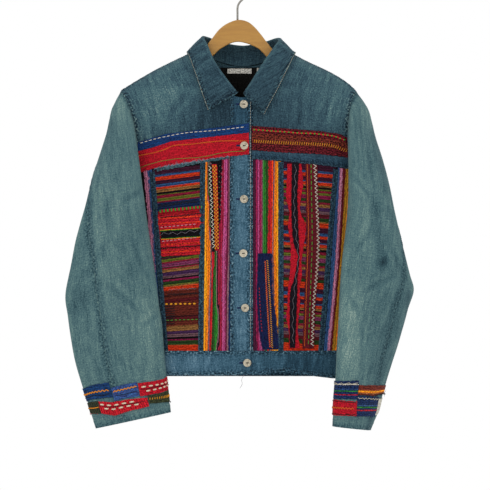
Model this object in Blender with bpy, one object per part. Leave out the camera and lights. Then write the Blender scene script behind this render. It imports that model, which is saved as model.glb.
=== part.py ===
"""Denim jacket with woven patchwork fronts, buttoned and hanging on a wooden hanger.

Tables and constants are in millimetres and the scene is in metres. +Z is up, the fronts face -Y, and the
origin is the inside top of the hanger's hook, where a rail carries it. Left and right are the wearer's, so
the right front is at -X. Every piece of cloth is a wall between two sheets of points, both worked out from
the garment's form. Across is measured from the jacket's centre front, and level is the height Z.
"""

import math

import bmesh
import bpy
import numpy as np
from mathutils import Vector

MM = 0.001
RIGHT, LEFT = -1, 1
FRONT, BACK = 0, 1

# Walls of the cloth, and the gap that parts two pieces at a seam
DENIM = 1.5
WOVEN = 1.2
DOUBLED = 2.2
TRIM = 1.0
SEAM_GAP = 0.3
HALF_GAP = SEAM_GAP / 2

# The centre front lies a little off the hook
CENTRE_X = 10.2

# Levels of the seams
NECK_POINT = -131.0
BACK_NECK = -168.0
SHOULDER_TIP = -214.0
UNDERARM = -452.0
HEM_TOP = -695.3
HEM = -744.0

# Body sections: level, half-width on the wearer's right and left, depth before and behind, middle
BODY = (
    (-120, 60, 55, 25, 24, 3),
    (-131, 78, 72, 28, 25, 3),
    (-143, 98, 90, 30, 27, 3),
    (-157, 127, 115, 32, 29, 3),
    (-180, 172, 164, 34, 32, 3),
    (-202, 209, 198, 37, 34, 4),
    (-214, 226, 209, 39, 35, 4),
    (-240, 237, 226, 41, 36, 5),
    (-300, 241, 236, 43, 37, 6),
    (-452, 243, 243, 46, 38, 8),
    (-600, 237, 237, 46, 38, 8),
    (-744, 226, 226, 44, 37, 8),
)
ROUNDNESS = 2.6
FOLD_LINE = 0.003

# Folds of the body: face, across, top and bottom level, lean across for each mm down, half-width, depth
BODY_FOLDS = (
    (FRONT, -118, -600, -770, 0.03, 15, 3.0),
    (FRONT, -186, -345, -540, 0.05, 16, 4.0),
    (FRONT, 92, -640, -790, 0.02, 12, 3.5),
    (FRONT, 122, -625, -790, -0.03, 13, 3.0),
    (FRONT, 190, -370, -560, -0.05, 16, 4.0),
    (BACK, -150, -330, -780, 0.06, 26, 6.0),
    (BACK, -62, -420, -790, 0.03, 20, 4.0),
    (BACK, 40, -380, -785, -0.02, 22, 4.5),
    (BACK, 142, -310, -775, -0.07, 27, 6.5),
)

# Armhole as seen from the front, each point (across, level): top, front, underarm, back
ARMHOLES = {
    RIGHT: ((-226, -214), (-198, -325), (-243, -452), (-202, -325)),
    LEFT: ((209, -214), (196.5, -325), (243, -452), (200, -325)),
}
ARMHOLE_STEP = 15
YOKE_FRONT_END = 105
YOKE_BACK_END = -75
SIDE_ROWS = 7

# Sleeve head: the way in which the cloth leaves the armhole's top, front, underarm and back, in
# (across, depth, level), and how far it has turned round the sleeve where the head ends
SLEEVE_LEAVING = {
    RIGHT: ((-75, 0, -160), (10, -150, -20), (-60, 0, -80), (-220, 80, -60)),
    LEFT: ((75, 0, -160), (-10, -150, -20), (60, 0, -80), (220, 80, -60)),
}
HEAD_TURN = {RIGHT: 90, LEFT: 90}
HEAD_RINGS = 7
HEAD_PULL = 3.0

# Sleeve below the head: outer (across, level), inner (across, level), middle depth, half thickness, turn
SLEEVE_TUBES = {
    RIGHT: (
        (-294, -436, -172, -494, -49, 27, 2),
        (-309, -490, -165, -535, -48, 25, 0),
        (-320, -545, -158, -582, -47, 24, 0),
        (-329, -592, -153, -618, -46, 23, 0),
        (-325, -630, -149, -652, -46, 22, 0),
        (-319, -670, -146.5, -690, -46, 22, 0),
        (-312, -710, -143, -727, -46, 21, 0),
        (-300, -752, -139.5, -763, -46, 20, 0),
        (-289, -786, -136.8, -786, -46, 19, 0),
        (-281, -812, -135, -798, -46, 18.5, 0),
        (-272, -839, -133.8, -809, -46, 18, 0),
    ),
    LEFT: (
        (285, -440, 190, -492, -50, 30, 26),
        (298, -492, 185.5, -524, -46, 31, 29),
        (310, -540, 181, -562, -43, 31, 31),
        (318, -574, 178.5, -594, -42, 31, 32),
        (308, -615, 176.5, -628, -42, 31, 35),
        (296, -657, 174.5, -665, -42, 30, 39),
        (284, -697, 172.4, -701, -45, 30, 43),
        (268, -746, 170.6, -744, -47, 28, 47),
        (257, -786, 167.5, -782, -47, 26, 52),
        (250, -812, 166, -808, -47, 26, 56),
        (236.5, -843, 165.6, -834, -47, 26, 62),
    ),
}

# How far the back of each of these rings hangs below its middle
BACK_DROP = (45, 27, 16, 9, 4, 0, 0, 0, 0, 0, 0)

# Folds of the sleeves: ring number, angle, reach along in rings, reach round in degrees, slant, depth
SLEEVE_FOLDS = {
    RIGHT: (
        (9.4, 150, 0.9, 26, 10, 4.0),
        (10.6, 40, 0.8, 24, -12, 3.5),
        (7.2, 75, 1.6, 15, 6, 3.0),
        (12.6, 110, 1.7, 15, -5, 2.5),
        (9.8, 255, 1.2, 24, 12, 4.0),
        (12.0, 300, 1.5, 20, -8, 3.0),
    ),
    LEFT: (
        (9.2, 145, 0.9, 25, 10, 4.0),
        (10.4, 35, 0.8, 24, -10, 4.0),
        (7.6, 95, 1.8, 15, -6, 3.0),
        (12.4, 70, 1.6, 15, 5, 3.0),
        (9.9, 250, 1.2, 22, -12, 4.0),
        (12.2, 310, 1.5, 20, 8, 3.0),
    ),
}

# Seams that part the upper from the under sleeve: (ring number, angle) down the front and down the back
SLEEVE_SEAMS = {
    RIGHT: (
        ((0, -75), (6, 8), (7.9, 46), (9, 63), (10.2, 71), (12, 73), (17, 76)),
        ((0, 180), (7, 270), (17, 258)),
    ),
    LEFT: (
        ((0, -75), (7, 12), (9, 48), (10.6, 66), (12, 69), (13.1, 73), (17, 74)),
        ((0, 180), (7, 270), (17, 245)),
    ),
}
UPPER_COLUMNS = 17
UNDER_COLUMNS = 7
COLUMNS = UPPER_COLUMNS + UNDER_COLUMNS
SLEEVE_ROWS = 20

# Yoke seams and necklines of the fronts, (across, level)
YOKE_SEAM = {RIGHT: ((-202.6, -356.3), (-23.65, -333)), LEFT: ((202.8, -356.3), (18.65, -333))}
NECKLINE = {
    RIGHT: ((-23.65, -293), (-23.65, -252), (-23.65, -213), (-45, -192.5), (-62, -168.5), (-73, -150)),
    LEFT: ((18.65, -295), (18.65, -256), (18.65, -217), (41, -193), (58, -168.5), (68, -150)),
}
BACK_NECKLINE = ((-77, -133), (-70, -145), (-48, -158), (-24, -165.5), (0, BACK_NECK))
NECK_COLUMNS = 5
SHOULDER_COLUMNS = 6
YOKE_BACK_ROWS = 5

# Front edges across the closing: the right front buttons over the left
PLACKET_EDGE = -23.5
FRONT_EDGE = 14.8
UNDER_EDGE = -19.0
LEFT_EDGE = 18.5
PLACKET_LIFT = 0.8
STAND_LIFT = -1.8
PLACKET_TOP = (-214, -224.5, -226, -227, -228)
STAND_TOP = (-226, -226, -226, -223.5, -217.5)

# Woven panels of the fronts: lines down them, each (across at the yoke seam, across at the waistband)
SIDE_SEAM_RIGHT = (-190.5, -166)
PANELS = {
    "strip_side_right": (RIGHT, ((-190.35, -165.85), (-178.8, -153.2), (-174, -148.4), (-169.15, -143.55))),
    "panel_a": (RIGHT, (
        (-168.85, -143.25), (-164.2, -138.6), (-155.5, -131), (-126, -116), (-97, -99), (-79.3, -83),
        (-74.65, -78.35),
    )),
    "panel_b": (RIGHT, (
        (-74.35, -78.05), (-69.7, -73.4), (-67, -67), (-59.5, -59.5), (-58.5, -58.5), (-48.5, -48.5),
        (-35, -35), (-23.65, -23.65),
    )),
    "panel_c": (LEFT, ((18.65, 18.65), (26, 25), (40, 40), (54, 55), (65.5, 65.5), (70.15, 70.15))),
    "panel_d": (LEFT, (
        (70.45, 70.45), (75.1, 75.1), (81, 80), (91, 90), (103, 100), (111, 110), (118, 112.5),
        (137, 131), (167.7, 139.5), (172.35, 144.15),
    )),
}
PANEL_E = ((172.65, 144.45), (177.3, 149.1), (190, 172))
PANEL_E_OUTER_FOOT = 203.0
PANEL_ROWS = 12

# Pieces laid on a panel: panel, first and last of its lines, first and last row, lift, wall, finish
LAID_ON = {
    "patch_red_a": ("panel_a", 2, 4, 6, 9, 0.3, TRIM, "woven red"),
    "braid_zigzag_b": ("panel_b", 2, 3, 6, 11.8, 0.3, TRIM, "braid black"),
    "braid_chevron_b": ("panel_b", 4, 5, 6, 11.8, 0.3, TRIM, "braid yellow"),
    "patch_navy_c": ("panel_c", 1, 3, 0.1, 6, 0.3, TRIM, "woven blue"),
    "strip_red_d": ("panel_d", 2, 5, 0.1, 11.7, 0.3, TRIM, "woven red"),
    "strip_black_d": ("panel_d", 3, 4, 0.1, 11.6, 1.6, TRIM, "braid black"),
    "strip_maroon_d": ("panel_d", 6, 7, 0.1, 11.7, 0.3, TRIM, "woven maroon"),
}

# Straps over the seams: the panels on both sides, the line of each that the strap reaches, top row
STRAPS = {
    "strap_1": ("strip_side_right", 2, "panel_a", 1, 11.6),
    "strap_2": ("panel_a", 5, "panel_b", 1, 11.8),
    "strap_3": ("panel_c", 4, "panel_d", 1, 11.8),
    "strap_4": ("panel_d", 8, "panel_e", 1, 11.8),
}

# Chest bands: lower and upper edge (across, level) from the armhole to the front edge
BAND_BLUE = (
    ((-196, -326), (-163, -317.5), (-132, -307), (11, -291.4)),
    ((-195, -309), (-144, -294), (-80, -286), (11, -274)),
)
BAND_RED = (
    ((-202, -368), (-163, -357), (-56, -339.5), (11.5, -331)),
    ((-196, -326.3), (-163, -317.8), (-132, -307.3), (11, -291.7)),
)
BAND_MAROON = (
    ((196.5, -337.5), (140, -331), (71, -328), (16.2, -323.8)),
    ((194, -301), (180, -294), (142, -288.5), (16.2, -279)),
)
YOKE_STRAP = (
    ((199, -359), (150, -352), (80, -345), (16.2, -340.5)),
    ((196.5, -337.8), (140, -331.3), (71, -328.3), (16.2, -324.1)),
)
BAND_OVER_PLACKET = 1.1
BAND_LIFT = 0.6

# Lower edge of the waistband, (across, level)
WAISTBAND_EDGE = ((-226, HEM), (-113, -742), (26, -739.5), (78, -734), (120, -741), (170, -747), (226, HEM))
WAISTBAND_LIFT = 1.1
WAIST_RIGHT = (-240, -205, -180, -155, -133, -118, -103, -75, -45, -15, FRONT_EDGE)
WAIST_LEFT = (UNDER_EDGE, 17.5, 29, 50, 70, 81, 92, 103, 113, 122, 134, 155, 180, 205, 240)

# Collar stations from the right front end round the back to the left front end. Each gives the place on
# the neck seam (across, level, face), the top of the roll and the outer edge (across, depth, level)
COLLAR = (
    ((-15.5, -221, FRONT), (-9.3, -43.5, -218), (-64.4, -41.5, -250.5)),
    ((-26.5, -208, FRONT), (-24, -42.5, -199.5), (-74, -40, -224)),
    ((-44, -190.5, FRONT), (-40, -39.5, -178), (-83, -37, -197)),
    ((-60.5, -168, FRONT), (-57, -32, -152), (-92, -31.5, -171)),
    ((-72, -149, FRONT), (-70, -18, -127), (-99, -21.5, -154)),
    ((-76.5, -129.5, BACK), (-76.6, 4, -114), (-103.5, 7, -143)),
    ((-69, -143.5, BACK), (-68, 25, -112.5), (-95, 31, -158)),
    ((-47.5, -156.5, BACK), (-42, 39, -121), (-62, 43, -186)),
    ((0, -166.5, BACK), (0, 43.5, -128), (0, 46.5, -196)),
    ((43.5, -156, BACK), (39, 39, -121), (58, 43, -186)),
    ((61.5, -142.5, BACK), (64, 25, -113.5), (88, 31, -158)),
    ((69, -129.5, BACK), (70.9, 4, -115), (96.5, 7, -144)),
    ((65, -149, FRONT), (63, -18, -127), (90, -21.5, -157)),
    ((55, -168, FRONT), (49, -32, -146.5), (80, -31.5, -178)),
    ((39, -191, FRONT), (32, -39.5, -171.5), (67, -38, -205)),
    ((22, -212, FRONT), (14, -42.5, -199), (52, -41, -233)),
    ((7.5, -220.5, FRONT), (0, -43.5, -219.5), (38.9, -42, -258)),
)
COLLAR_WALL = 2.0
COLLAR_ROLL = 3.5
COLLAR_CROWN = 1.2
LEAF_LIFT = 5.0
STAND_SHARE, ROLL_SHARE = 2 / 9, 6 / 9
COLLAR_COLUMNS, COLLAR_ROWS = 32, 9

# Black facing and bare labels inside the back neck: across from and to, top and bottom level
FACING = (-92, 92, -172.5, -262)
FACING_GAP = 1.3
LABEL_GAP = 0.6
LABELS = {"label_main": (-29, 16, -175, -187), "label_size": (26, 38, -173, -183)}
LABEL = 0.6

# Patches round the sleeve ends: (angle, lower height over the hem, upper height) from edge to edge
CUFF_PATCHES = {
    RIGHT: (
        (((-110, 34, 60), (14, 38, 58), (70, 45, 71)), "woven blue"),
        (((71, 38, 62), (108, 49, 76)), "woven blue"),
        (((109, 48, 74), (176, 66, 92), (249, 66, 90)), "woven red"),
        (((-110, 18, 32), (14, 20, 36), (44, 19, 38), (66, 14, 36), (119, 25, 46)), "woven red"),
        (((120, 32, 50), (176, 35, 65), (249, 35, 64)), "braid black"),
    ),
    LEFT: (
        (((-110, 66, 84), (45, 68, 83), (80, 63.5, 83), (119.5, 65, 83)), "woven stripe"),
        (((120.5, 55.5, 91), (187, 55, 89), (249, 56, 90)), "woven blue"),
        (((-110, 30, 58), (29, 33, 60), (50, 27, 58), (58.5, 26, 58)), "label"),
        (((59.5, 26, 61.5), (115.5, 24, 54)), "woven blue"),
        (((116.5, 24, 52), (190, 24, 54), (249, 24, 54)), "woven red"),
    ),
}
PATCH_GAP = 0.4
THIN_ROW = 0.04

# Buttons: across, level and height of the seat over the body
BUTTONS = (
    (1.5, -238.7, PLACKET_LIFT),
    (2.2, -315.4, BAND_OVER_PLACKET + TRIM),
    (1.9, -414.4, PLACKET_LIFT),
    (0.6, -514.9, PLACKET_LIFT),
    (3.9, -616.0, PLACKET_LIFT),
    (7.8, -717.8, WAISTBAND_LIFT),
)
BUTTON_SEAT_GAP = 0.35
BUTTON_PROFILE = ((0, 2.4), (4.4, 2.4), (5.6, 3.6), (7.5, 2.6), (6.6, 0.0), (0, 0.0))
BUTTON_SIDES = 16
HOLE_SPACING = 3.2
HOLE_RADIUS = 0.9

# Hanger: top and under edge of the board, (X, level), and its hook
HANGER_THICK = 13.0
HANGER_Y = 3.0
HANGER_ROUNDING = 4.5
HANGER_TOP = (
    (-209, -214.2), (-200, -207.2), (-150, -178.4), (-93, -151.0), (-70, -138.8), (-58, -129), (-46, -114),
    (-34, -99), (-19, -88), (0, -81.4), (17, -84), (30, -93), (44, -109), (57, -126), (70, -138.5),
    (106, -151.5), (150, -173.2), (190, -194.4), (198, -201.4),
)
HANGER_UNDER = (
    (201, -216), (194, -223), (160, -206), (106, -178), (62, -156), (36, -133), (0, -122),
    (-30, -134), (-51, -152), (-93, -175), (-150, -205), (-200, -233), (-208, -227),
)
HOOK_WIRE = 1.9
HOOK_RADIUS = 22.9
HOOK_STEM = ((0, -81.0), (0, -70), (0, -60), (1.5, -53), (5.5, -46.5))
HOOK_FIRST, HOOK_LAST, HOOK_STEP = -56, 200, 14

FINISHES = {
    "denim": ("#5B7C8A", 0.85),
    "denim dark": ("#46657A", 0.85),
    "woven red": ("#A82A2E", 0.9),
    "woven blue": ("#2C3F78", 0.9),
    "woven maroon": ("#6E2230", 0.9),
    "woven stripe": ("#8C3A44", 0.9),
    "braid black": ("#22202A", 0.9),
    "braid yellow": ("#D79A2B", 0.9),
    "lining": ("#17171A", 0.95),
    "label": ("#E9E7E0", 0.8),
    "pearl": ("#D8D1BE", 0.35),
    "wood": ("#B9854A", 0.45),
    "steel": ("#B4B6B8", 0.3),
}
METALS = ("steel",)


def linear(hex_colour):
    """An sRGB hex colour as linear RGBA."""
    parts = [int(hex_colour[k : k + 2], 16) / 255 for k in (1, 3, 5)]
    return [c / 12.92 if c <= 0.04045 else ((c + 0.055) / 1.055) ** 2.4 for c in parts] + [1.0]


def finish(name):
    """A new Principled material of the named finish."""
    colour, roughness = FINISHES[name]
    material = bpy.data.materials.new(name)
    material.use_nodes = True
    shader = material.node_tree.nodes["Principled BSDF"]
    shader.inputs["Base Color"].default_value = linear(colour)
    shader.inputs["Roughness"].default_value = roughness
    shader.inputs["Metallic"].default_value = 1.0 if name in METALS else 0.0
    return material


def smooth(knots, values, at):
    """A smooth curve through values at the rising knots, read at one place."""
    knots, values = np.asarray(knots, float), np.asarray(values, float)
    at = min(max(at, knots[0]), knots[-1])
    k = min(int(np.searchsorted(knots, at, side="right")) - 1, len(knots) - 2)
    step = np.diff(knots)
    rise = np.diff(values, axis=0) / step.reshape((-1,) + (1,) * (values.ndim - 1))
    slopes = np.concatenate([rise[:1], (rise[:-1] + rise[1:]) / 2, rise[-1:]])
    t = (at - knots[k]) / step[k]
    return (
        (2 * t**3 - 3 * t**2 + 1) * values[k]
        + (t**3 - 2 * t**2 + t) * step[k] * slopes[k]
        + (3 * t**2 - 2 * t**3) * values[k + 1]
        + (t**3 - t**2) * step[k] * slopes[k + 1]
    )


def listed(points, share):
    """The place at a share of a line through points, each point as far from the next."""
    place = min(max(share, 0.0), 1.0) * (len(points) - 1)
    k = min(int(place + 1e-6), len(points) - 2)
    return np.asarray(points[k], float) * (1 + k - place) + np.asarray(points[k + 1], float) * (place - k)


# The form of the body: a place on it is (turn, level), turn 0 at centre front, 1 at a side, 2 at the back


def body_size(level):
    """Half-widths on both sides, depths before and behind, and the middle, at a level."""
    rows = np.array(BODY[::-1], float)
    return smooth(rows[:, 0], rows[:, 1:], level)


def body_relief(across, level, face):
    """How far the folds lift the cloth (below zero in a trough) at a point of the body."""
    lift = 0.0
    for fold_face, middle, top, bottom, lean, half, depth in BODY_FOLDS:
        share = (top - level) / (top - bottom)
        if fold_face == face and 0 < share < 1:
            offset = (across - middle - lean * (top - level)) / half
            lift -= depth * math.exp(-offset * offset) * math.sin(math.pi * share) ** 2
    return lift


def turn_of(across, level, face=FRONT):
    """Where a point of the front or the back lies round the body."""
    sizes = body_size(level)
    turn = math.asin(max(-1.0, min(1.0, across / (sizes[0] if across < 0 else sizes[1])))) * 2 / math.pi
    return turn if face == FRONT else math.copysign(2, turn if turn else 1) - turn


def body_at(turn, level):
    """A point of the body's outer face, without its folds."""
    sizes = body_size(level)
    swing = math.sin(math.pi / 2 * turn)
    reach = math.sqrt(max(0.0, 1 - abs(swing) ** ROUNDNESS))
    depth = sizes[4] + (sizes[3] if abs(turn) > 1 else -sizes[2]) * reach
    return Vector((swing * (sizes[0] if turn < 0 else sizes[1]), depth, level))


def body_point(turn, level, lift=0.0):
    """A point at a height over the body's outer face, folds included."""
    here = body_at(turn, level)
    round_it = body_at(turn + 0.01, level) - body_at(turn - 0.01, level)
    up = body_at(turn, level + 1) - body_at(turn, level - 1)
    normal = round_it.cross(up).normalized()
    calm = min(1.0, 3 * abs(math.cos(math.pi / 2 * turn)))
    lift += calm * body_relief(here.x, level, BACK if abs(turn) > 1 else FRONT)
    return here + normal * lift + Vector((CENTRE_X, 0, 0))


def armhole_at(side, angle):
    """A point (across, level) of the armhole's curve, seen from the front."""
    top, front, under, back = (np.array(point, float) for point in ARMHOLES[side])
    a = math.radians(angle)
    return (
        (top + front + under + back) / 4
        + (top - under) / 2 * math.cos(a)
        + (front - back) / 2 * math.sin(a)
        + (top + under - front - back) / 4 * math.cos(2 * a)
    )


def armhole(side, angle):
    """A place on the armhole, which is cut in straight steps from one of its points to the next."""
    first = math.floor(angle / ARMHOLE_STEP + 1e-6) * ARMHOLE_STEP
    share = (angle - first) / ARMHOLE_STEP
    across, level = armhole_at(side, first) * (1 - share) + armhole_at(side, first + ARMHOLE_STEP) * share
    return np.array([turn_of(across, level, FRONT if math.sin(math.radians(angle)) >= 0 else BACK), level])


# The form of the sleeves: a place on one is (angle, ring), angle 0 at the outer edge, 90 in front


def ring_points(side):
    """The four guiding points of each ring of the sleeve below its head."""
    rings = []
    for (out_x, out_z, in_x, in_z, middle_y, thin, turned), drop in zip(SLEEVE_TUBES[side], BACK_DROP):
        turned = math.radians(turned)
        half = abs(out_x - in_x) / 2
        wide = math.sqrt(half**2 - (thin * math.sin(turned)) ** 2) / math.cos(turned)
        slope = (out_z - in_z) / (2 * half)
        ring = []
        for angle in (0, 90, 180, 270):
            long, short = wide * math.cos(math.radians(angle)), thin * math.sin(math.radians(angle))
            across = long * math.cos(turned) + short * math.sin(turned)
            depth = long * math.sin(turned) - short * math.cos(turned)
            middle = ((out_x + in_x) / 2, middle_y, (out_z + in_z) / 2)
            lower = slope * across - drop * depth / thin
            ring.append((middle[0] + side * across, middle[1] + depth, middle[2] + lower))
        rings.append(ring)
    return np.array(rings)


RINGS = {side: ring_points(side) for side in (RIGHT, LEFT)}
LAST_RING = HEAD_RINGS + len(RINGS[RIGHT]) - 1


def round_ring(points, angle):
    """A point of the smooth ring through four guiding points."""
    outer, front, under, back = (np.asarray(point, float) for point in points)
    a = math.radians(angle)
    return Vector(
        (outer + front + under + back) / 4
        + (outer - under) / 2 * math.cos(a)
        + (front - back) / 2 * math.sin(a)
        + (outer + under - front - back) / 4 * math.cos(2 * a)
    )


def tube_at(side, angle, ring):
    """A point of the sleeve's outer face below its head, without its folds."""
    numbers = np.arange(HEAD_RINGS, LAST_RING + 1)
    return round_ring(smooth(numbers, RINGS[side], ring), angle) + Vector((CENTRE_X, 0, 0))


def sleeve_start(side, angle):
    """A point of the sleeve's edge at the armhole, a gap inside it, and the way to the cloth's inside."""
    here = body_point(*armhole(side, angle))
    later, sooner = armhole(side, angle + ARMHOLE_STEP), armhole(side, angle - ARMHOLE_STEP)
    round_it = (body_point(*later) - body_point(*sooner)).normalized()
    inward = (body_point(*armhole(side, angle), -1) - here).normalized()
    leaving = round_ring(SLEEVE_LEAVING[side], angle)
    opposite = (angle + 360) % 360 - 180
    ahead = inward.cross(round_it)
    ahead *= math.copysign(1, ahead.dot(body_point(*armhole(side, opposite)) - here))
    cloth_inward = leaving.cross(round_it).normalized() * side
    return here + ahead * SEAM_GAP, (inward + cloth_inward).normalized()


def stepped(side, angle, which):
    """The sleeve's start point, or its inward way, at any angle, straight between the armhole's points."""
    step = math.floor(angle / ARMHOLE_STEP + 1e-6)
    share = angle / ARMHOLE_STEP - step
    starts = STARTS[side]
    here, after = starts[step % len(starts)][which], starts[(step + 1) % len(starts)][which]
    return here * (1 - share) + after * share


STARTS = {
    side: [sleeve_start(side, angle) for angle in range(0, 360, ARMHOLE_STEP)] for side in (RIGHT, LEFT)
}


def sleeve_at(side, angle, ring):
    """A point of the sleeve's outer face, without its folds."""
    if ring >= HEAD_RINGS:
        return tube_at(side, angle, ring)
    t = ring / HEAD_RINGS
    start = angle - HEAD_TURN[side] * t
    end = start + HEAD_TURN[side]
    arriving = (tube_at(side, end, HEAD_RINGS + 1) - tube_at(side, end, HEAD_RINGS)) * HEAD_PULL
    return (
        stepped(side, start, 0) * (2 * t**3 - 3 * t**2 + 1)
        + round_ring(SLEEVE_LEAVING[side], start) * (t**3 - 2 * t**2 + t)
        + tube_at(side, end, HEAD_RINGS) * (3 * t**2 - 2 * t**3)
        + arriving * (t**3 - t**2)
    )


def sleeve_relief(side, angle, ring):
    """How far the folds lift the sleeve's cloth at a point."""
    lift = 0.0
    for fold_ring, middle, reach, spread, slant, depth in SLEEVE_FOLDS[side]:
        along = (ring - fold_ring) / reach
        offset = ((angle - middle + 180) % 360 - 180 - slant * along) / spread
        lift -= depth * math.exp(-offset * offset - along * along)
    return lift


def sleeve_point(side, angle, ring, lift=0.0):
    """A point at a height over the sleeve's outer face, folds included."""
    if ring < 1e-6:
        return stepped(side, angle, 0) - stepped(side, angle, 1) * lift
    low, high = max(ring - 0.05, 0.0), min(ring + 0.05, LAST_RING)
    down = sleeve_at(side, angle, high) - sleeve_at(side, angle, low)
    round_it = sleeve_at(side, angle + 2, ring) - sleeve_at(side, angle - 2, ring)
    normal = down.cross(round_it).normalized() * -side
    height = lift + sleeve_relief(side, angle, ring) * min(1.0, ring / 4)
    return sleeve_at(side, angle, ring) + normal * height


def seam_angle(side, which, ring, shift=0.0):
    """The angle at which a seam of the sleeve runs, moved round by a shift in millimetres."""
    rows = np.array(SLEEVE_SEAMS[side][which], float)
    angle = float(smooth(rows[:, 0], rows[:, 1], ring))
    speed = (sleeve_at(side, angle + 1, ring) - sleeve_at(side, angle - 1, ring)).length / 2
    return angle + shift / speed


def column_angle(side, ring, column):
    """The angle of a column of the whole sleeve; the upper piece's come first, then the under's."""
    first, middle = seam_angle(side, 0, ring), seam_angle(side, 1, ring)
    laps = math.floor(column / COLUMNS)
    column -= laps * COLUMNS
    if column <= UPPER_COLUMNS:
        angle = first + (middle - first) * column / UPPER_COLUMNS
    else:
        angle = middle + (first + 360 - middle) * (column - UPPER_COLUMNS) / UNDER_COLUMNS
    return angle + 360 * laps


def column_at(side, ring, angle):
    """The column of the whole sleeve at an angle."""
    columns = range(-COLUMNS, COLUMNS + 1)
    return float(np.interp(angle, [column_angle(side, ring, k) for k in columns], columns))


# Pieces of cloth


def cloth(name, columns, rows, at, wall, finish_name):
    """A piece of cloth: at(s, t, depth) gives its points for shares across and up it, down to the wall."""
    mesh = bmesh.new()
    bmesh.ops.create_grid(mesh, x_segments=columns, y_segments=rows, size=1.0)
    grown = bmesh.ops.extrude_face_region(mesh, geom=mesh.faces[:], use_keep_orig=True)["geom"]
    outside = [part for part in grown if isinstance(part, bmesh.types.BMVert)]
    bmesh.ops.translate(mesh, verts=outside, vec=(0, 0, 1))
    for point in mesh.verts:
        depth = 0.0 if point.co.z > 0.5 else wall
        point.co = at((point.co.x + 1) / 2, (point.co.y + 1) / 2, depth) * MM
    bmesh.ops.recalc_face_normals(mesh, faces=mesh.faces[:])
    if mesh.calc_volume(signed=True) < 0:
        bmesh.ops.reverse_faces(mesh, faces=mesh.faces[:])
    data = bpy.data.meshes.new(name)
    mesh.to_mesh(data)
    mesh.free()
    data.materials.append(finish(finish_name))
    data.shade_smooth()
    data.set_sharp_from_angle(angle=math.radians(50))
    piece = bpy.data.objects.new(name, data)
    bpy.context.collection.objects.link(piece)
    return piece


def on_body(place, lift=0.0, face=FRONT):
    """Points for a piece whose places (turn, level) are given, kept on its side of the fold lines."""

    def at(s, t, depth):
        turn, level = place(s, t)
        if face == FRONT:
            turn = max(-1 + FOLD_LINE, min(1 - FOLD_LINE, turn))
        else:
            turn = math.copysign(max(abs(turn), 1 + FOLD_LINE), turn)
        height = lift(body_at(turn, level).x) if callable(lift) else lift
        return body_point(turn, level, height - depth)

    return at


def front_place(point):
    """A point (across, level) of the front as (turn, level)."""
    return np.array([turn_of(*point), point[1]])


def patch(bottom, top, left, right):
    """The places inside four edges, for shares across and up them."""

    def at(s, t):
        corners = (
            (1 - s) * (1 - t) * bottom(0.0)
            + s * (1 - t) * bottom(1.0)
            + (1 - s) * t * top(0.0)
            + s * t * top(1.0)
        )
        return (1 - t) * bottom(s) + t * top(s) + (1 - s) * left(t) + s * right(t) - corners

    return at


def yoke_level(side, across):
    """The level of the yoke seam at a point across the front."""
    (x0, z0), (x1, z1) = YOKE_SEAM[side]
    return z0 + (z1 - z0) * (across - x0) / (x1 - x0)


def front_yokes():
    """The two front yokes, from the shoulder down to the chest seam."""
    for side, name in ((RIGHT, "front_yoke_right"), (LEFT, "front_yoke_left")):
        seam = YOKE_SEAM[side]
        neck = [front_place(point) for point in (seam[1], *NECKLINE[side])] + [np.array([side, NECK_POINT])]
        place = patch(
            bottom=lambda s, seam=seam: front_place(listed(seam, s)),
            top=lambda s, side=side: listed(((side, SHOULDER_TIP), (side, NECK_POINT)), s),
            left=lambda t, side=side: armhole(side, YOKE_FRONT_END * (1 - t)),
            right=lambda t, neck=neck: listed(neck, t),
        )
        rows = YOKE_FRONT_END // ARMHOLE_STEP
        cloth(name, 10, rows, on_body(place), DENIM, "denim")


def back_neckline(side):
    """The back neckline from the centre to the neck point, as places on one side."""
    points = [(side * abs(across), level) for across, level in BACK_NECKLINE[::-1]]
    scale = abs(body_at(side, NECK_POINT).x) / 78
    places = [np.array([turn_of(across * scale, level, BACK), level]) for across, level in points[1:-1]]
    return [np.array([2.0 * side, BACK_NECK])] + places + [np.array([side, NECK_POINT])]


def back_yoke():
    """The back yoke, one piece from the neck and shoulders down to its seam."""
    low = armhole_at(RIGHT, YOKE_BACK_END)[1]
    columns = NECK_COLUMNS + SHOULDER_COLUMNS

    def half(side):
        neck = back_neckline(side)

        def top(share):
            place = share * columns
            if place <= NECK_COLUMNS + 1e-6:
                return listed(neck, place / NECK_COLUMNS)
            ends = (side, NECK_POINT), (side, SHOULDER_TIP)
            return listed(ends, (place - NECK_COLUMNS) / SHOULDER_COLUMNS)

        corner = armhole(side, YOKE_BACK_END)
        return patch(
            bottom=lambda s: listed(((2 * side, low), corner), s),
            top=top,
            left=lambda t: np.array([2 * side, low + (BACK_NECK - low) * t]),
            right=lambda t: armhole(side, YOKE_BACK_END * (1 - t)),
        )

    halves = {side: half(side) for side in (RIGHT, LEFT)}

    def place(s, t):
        return halves[RIGHT if s < 0.5 else LEFT](abs(2 * s - 1), t)

    cloth("back_yoke", 2 * columns, YOKE_BACK_ROWS, on_body(place, face=BACK), DENIM, "denim")


def side_edge(side, first_angle, sign):
    """The outer edge of a lower piece, from the waistband up the side seam and round the armhole."""
    steps = abs(180 - first_angle) // ARMHOLE_STEP
    seam = [np.array([side, HEM_TOP + (UNDERARM - HEM_TOP) * k / SIDE_ROWS]) for k in range(SIDE_ROWS)]
    hole = [armhole(side, sign * (180 - ARMHOLE_STEP * k)) for k in range(steps + 1)]
    return seam + hole


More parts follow.
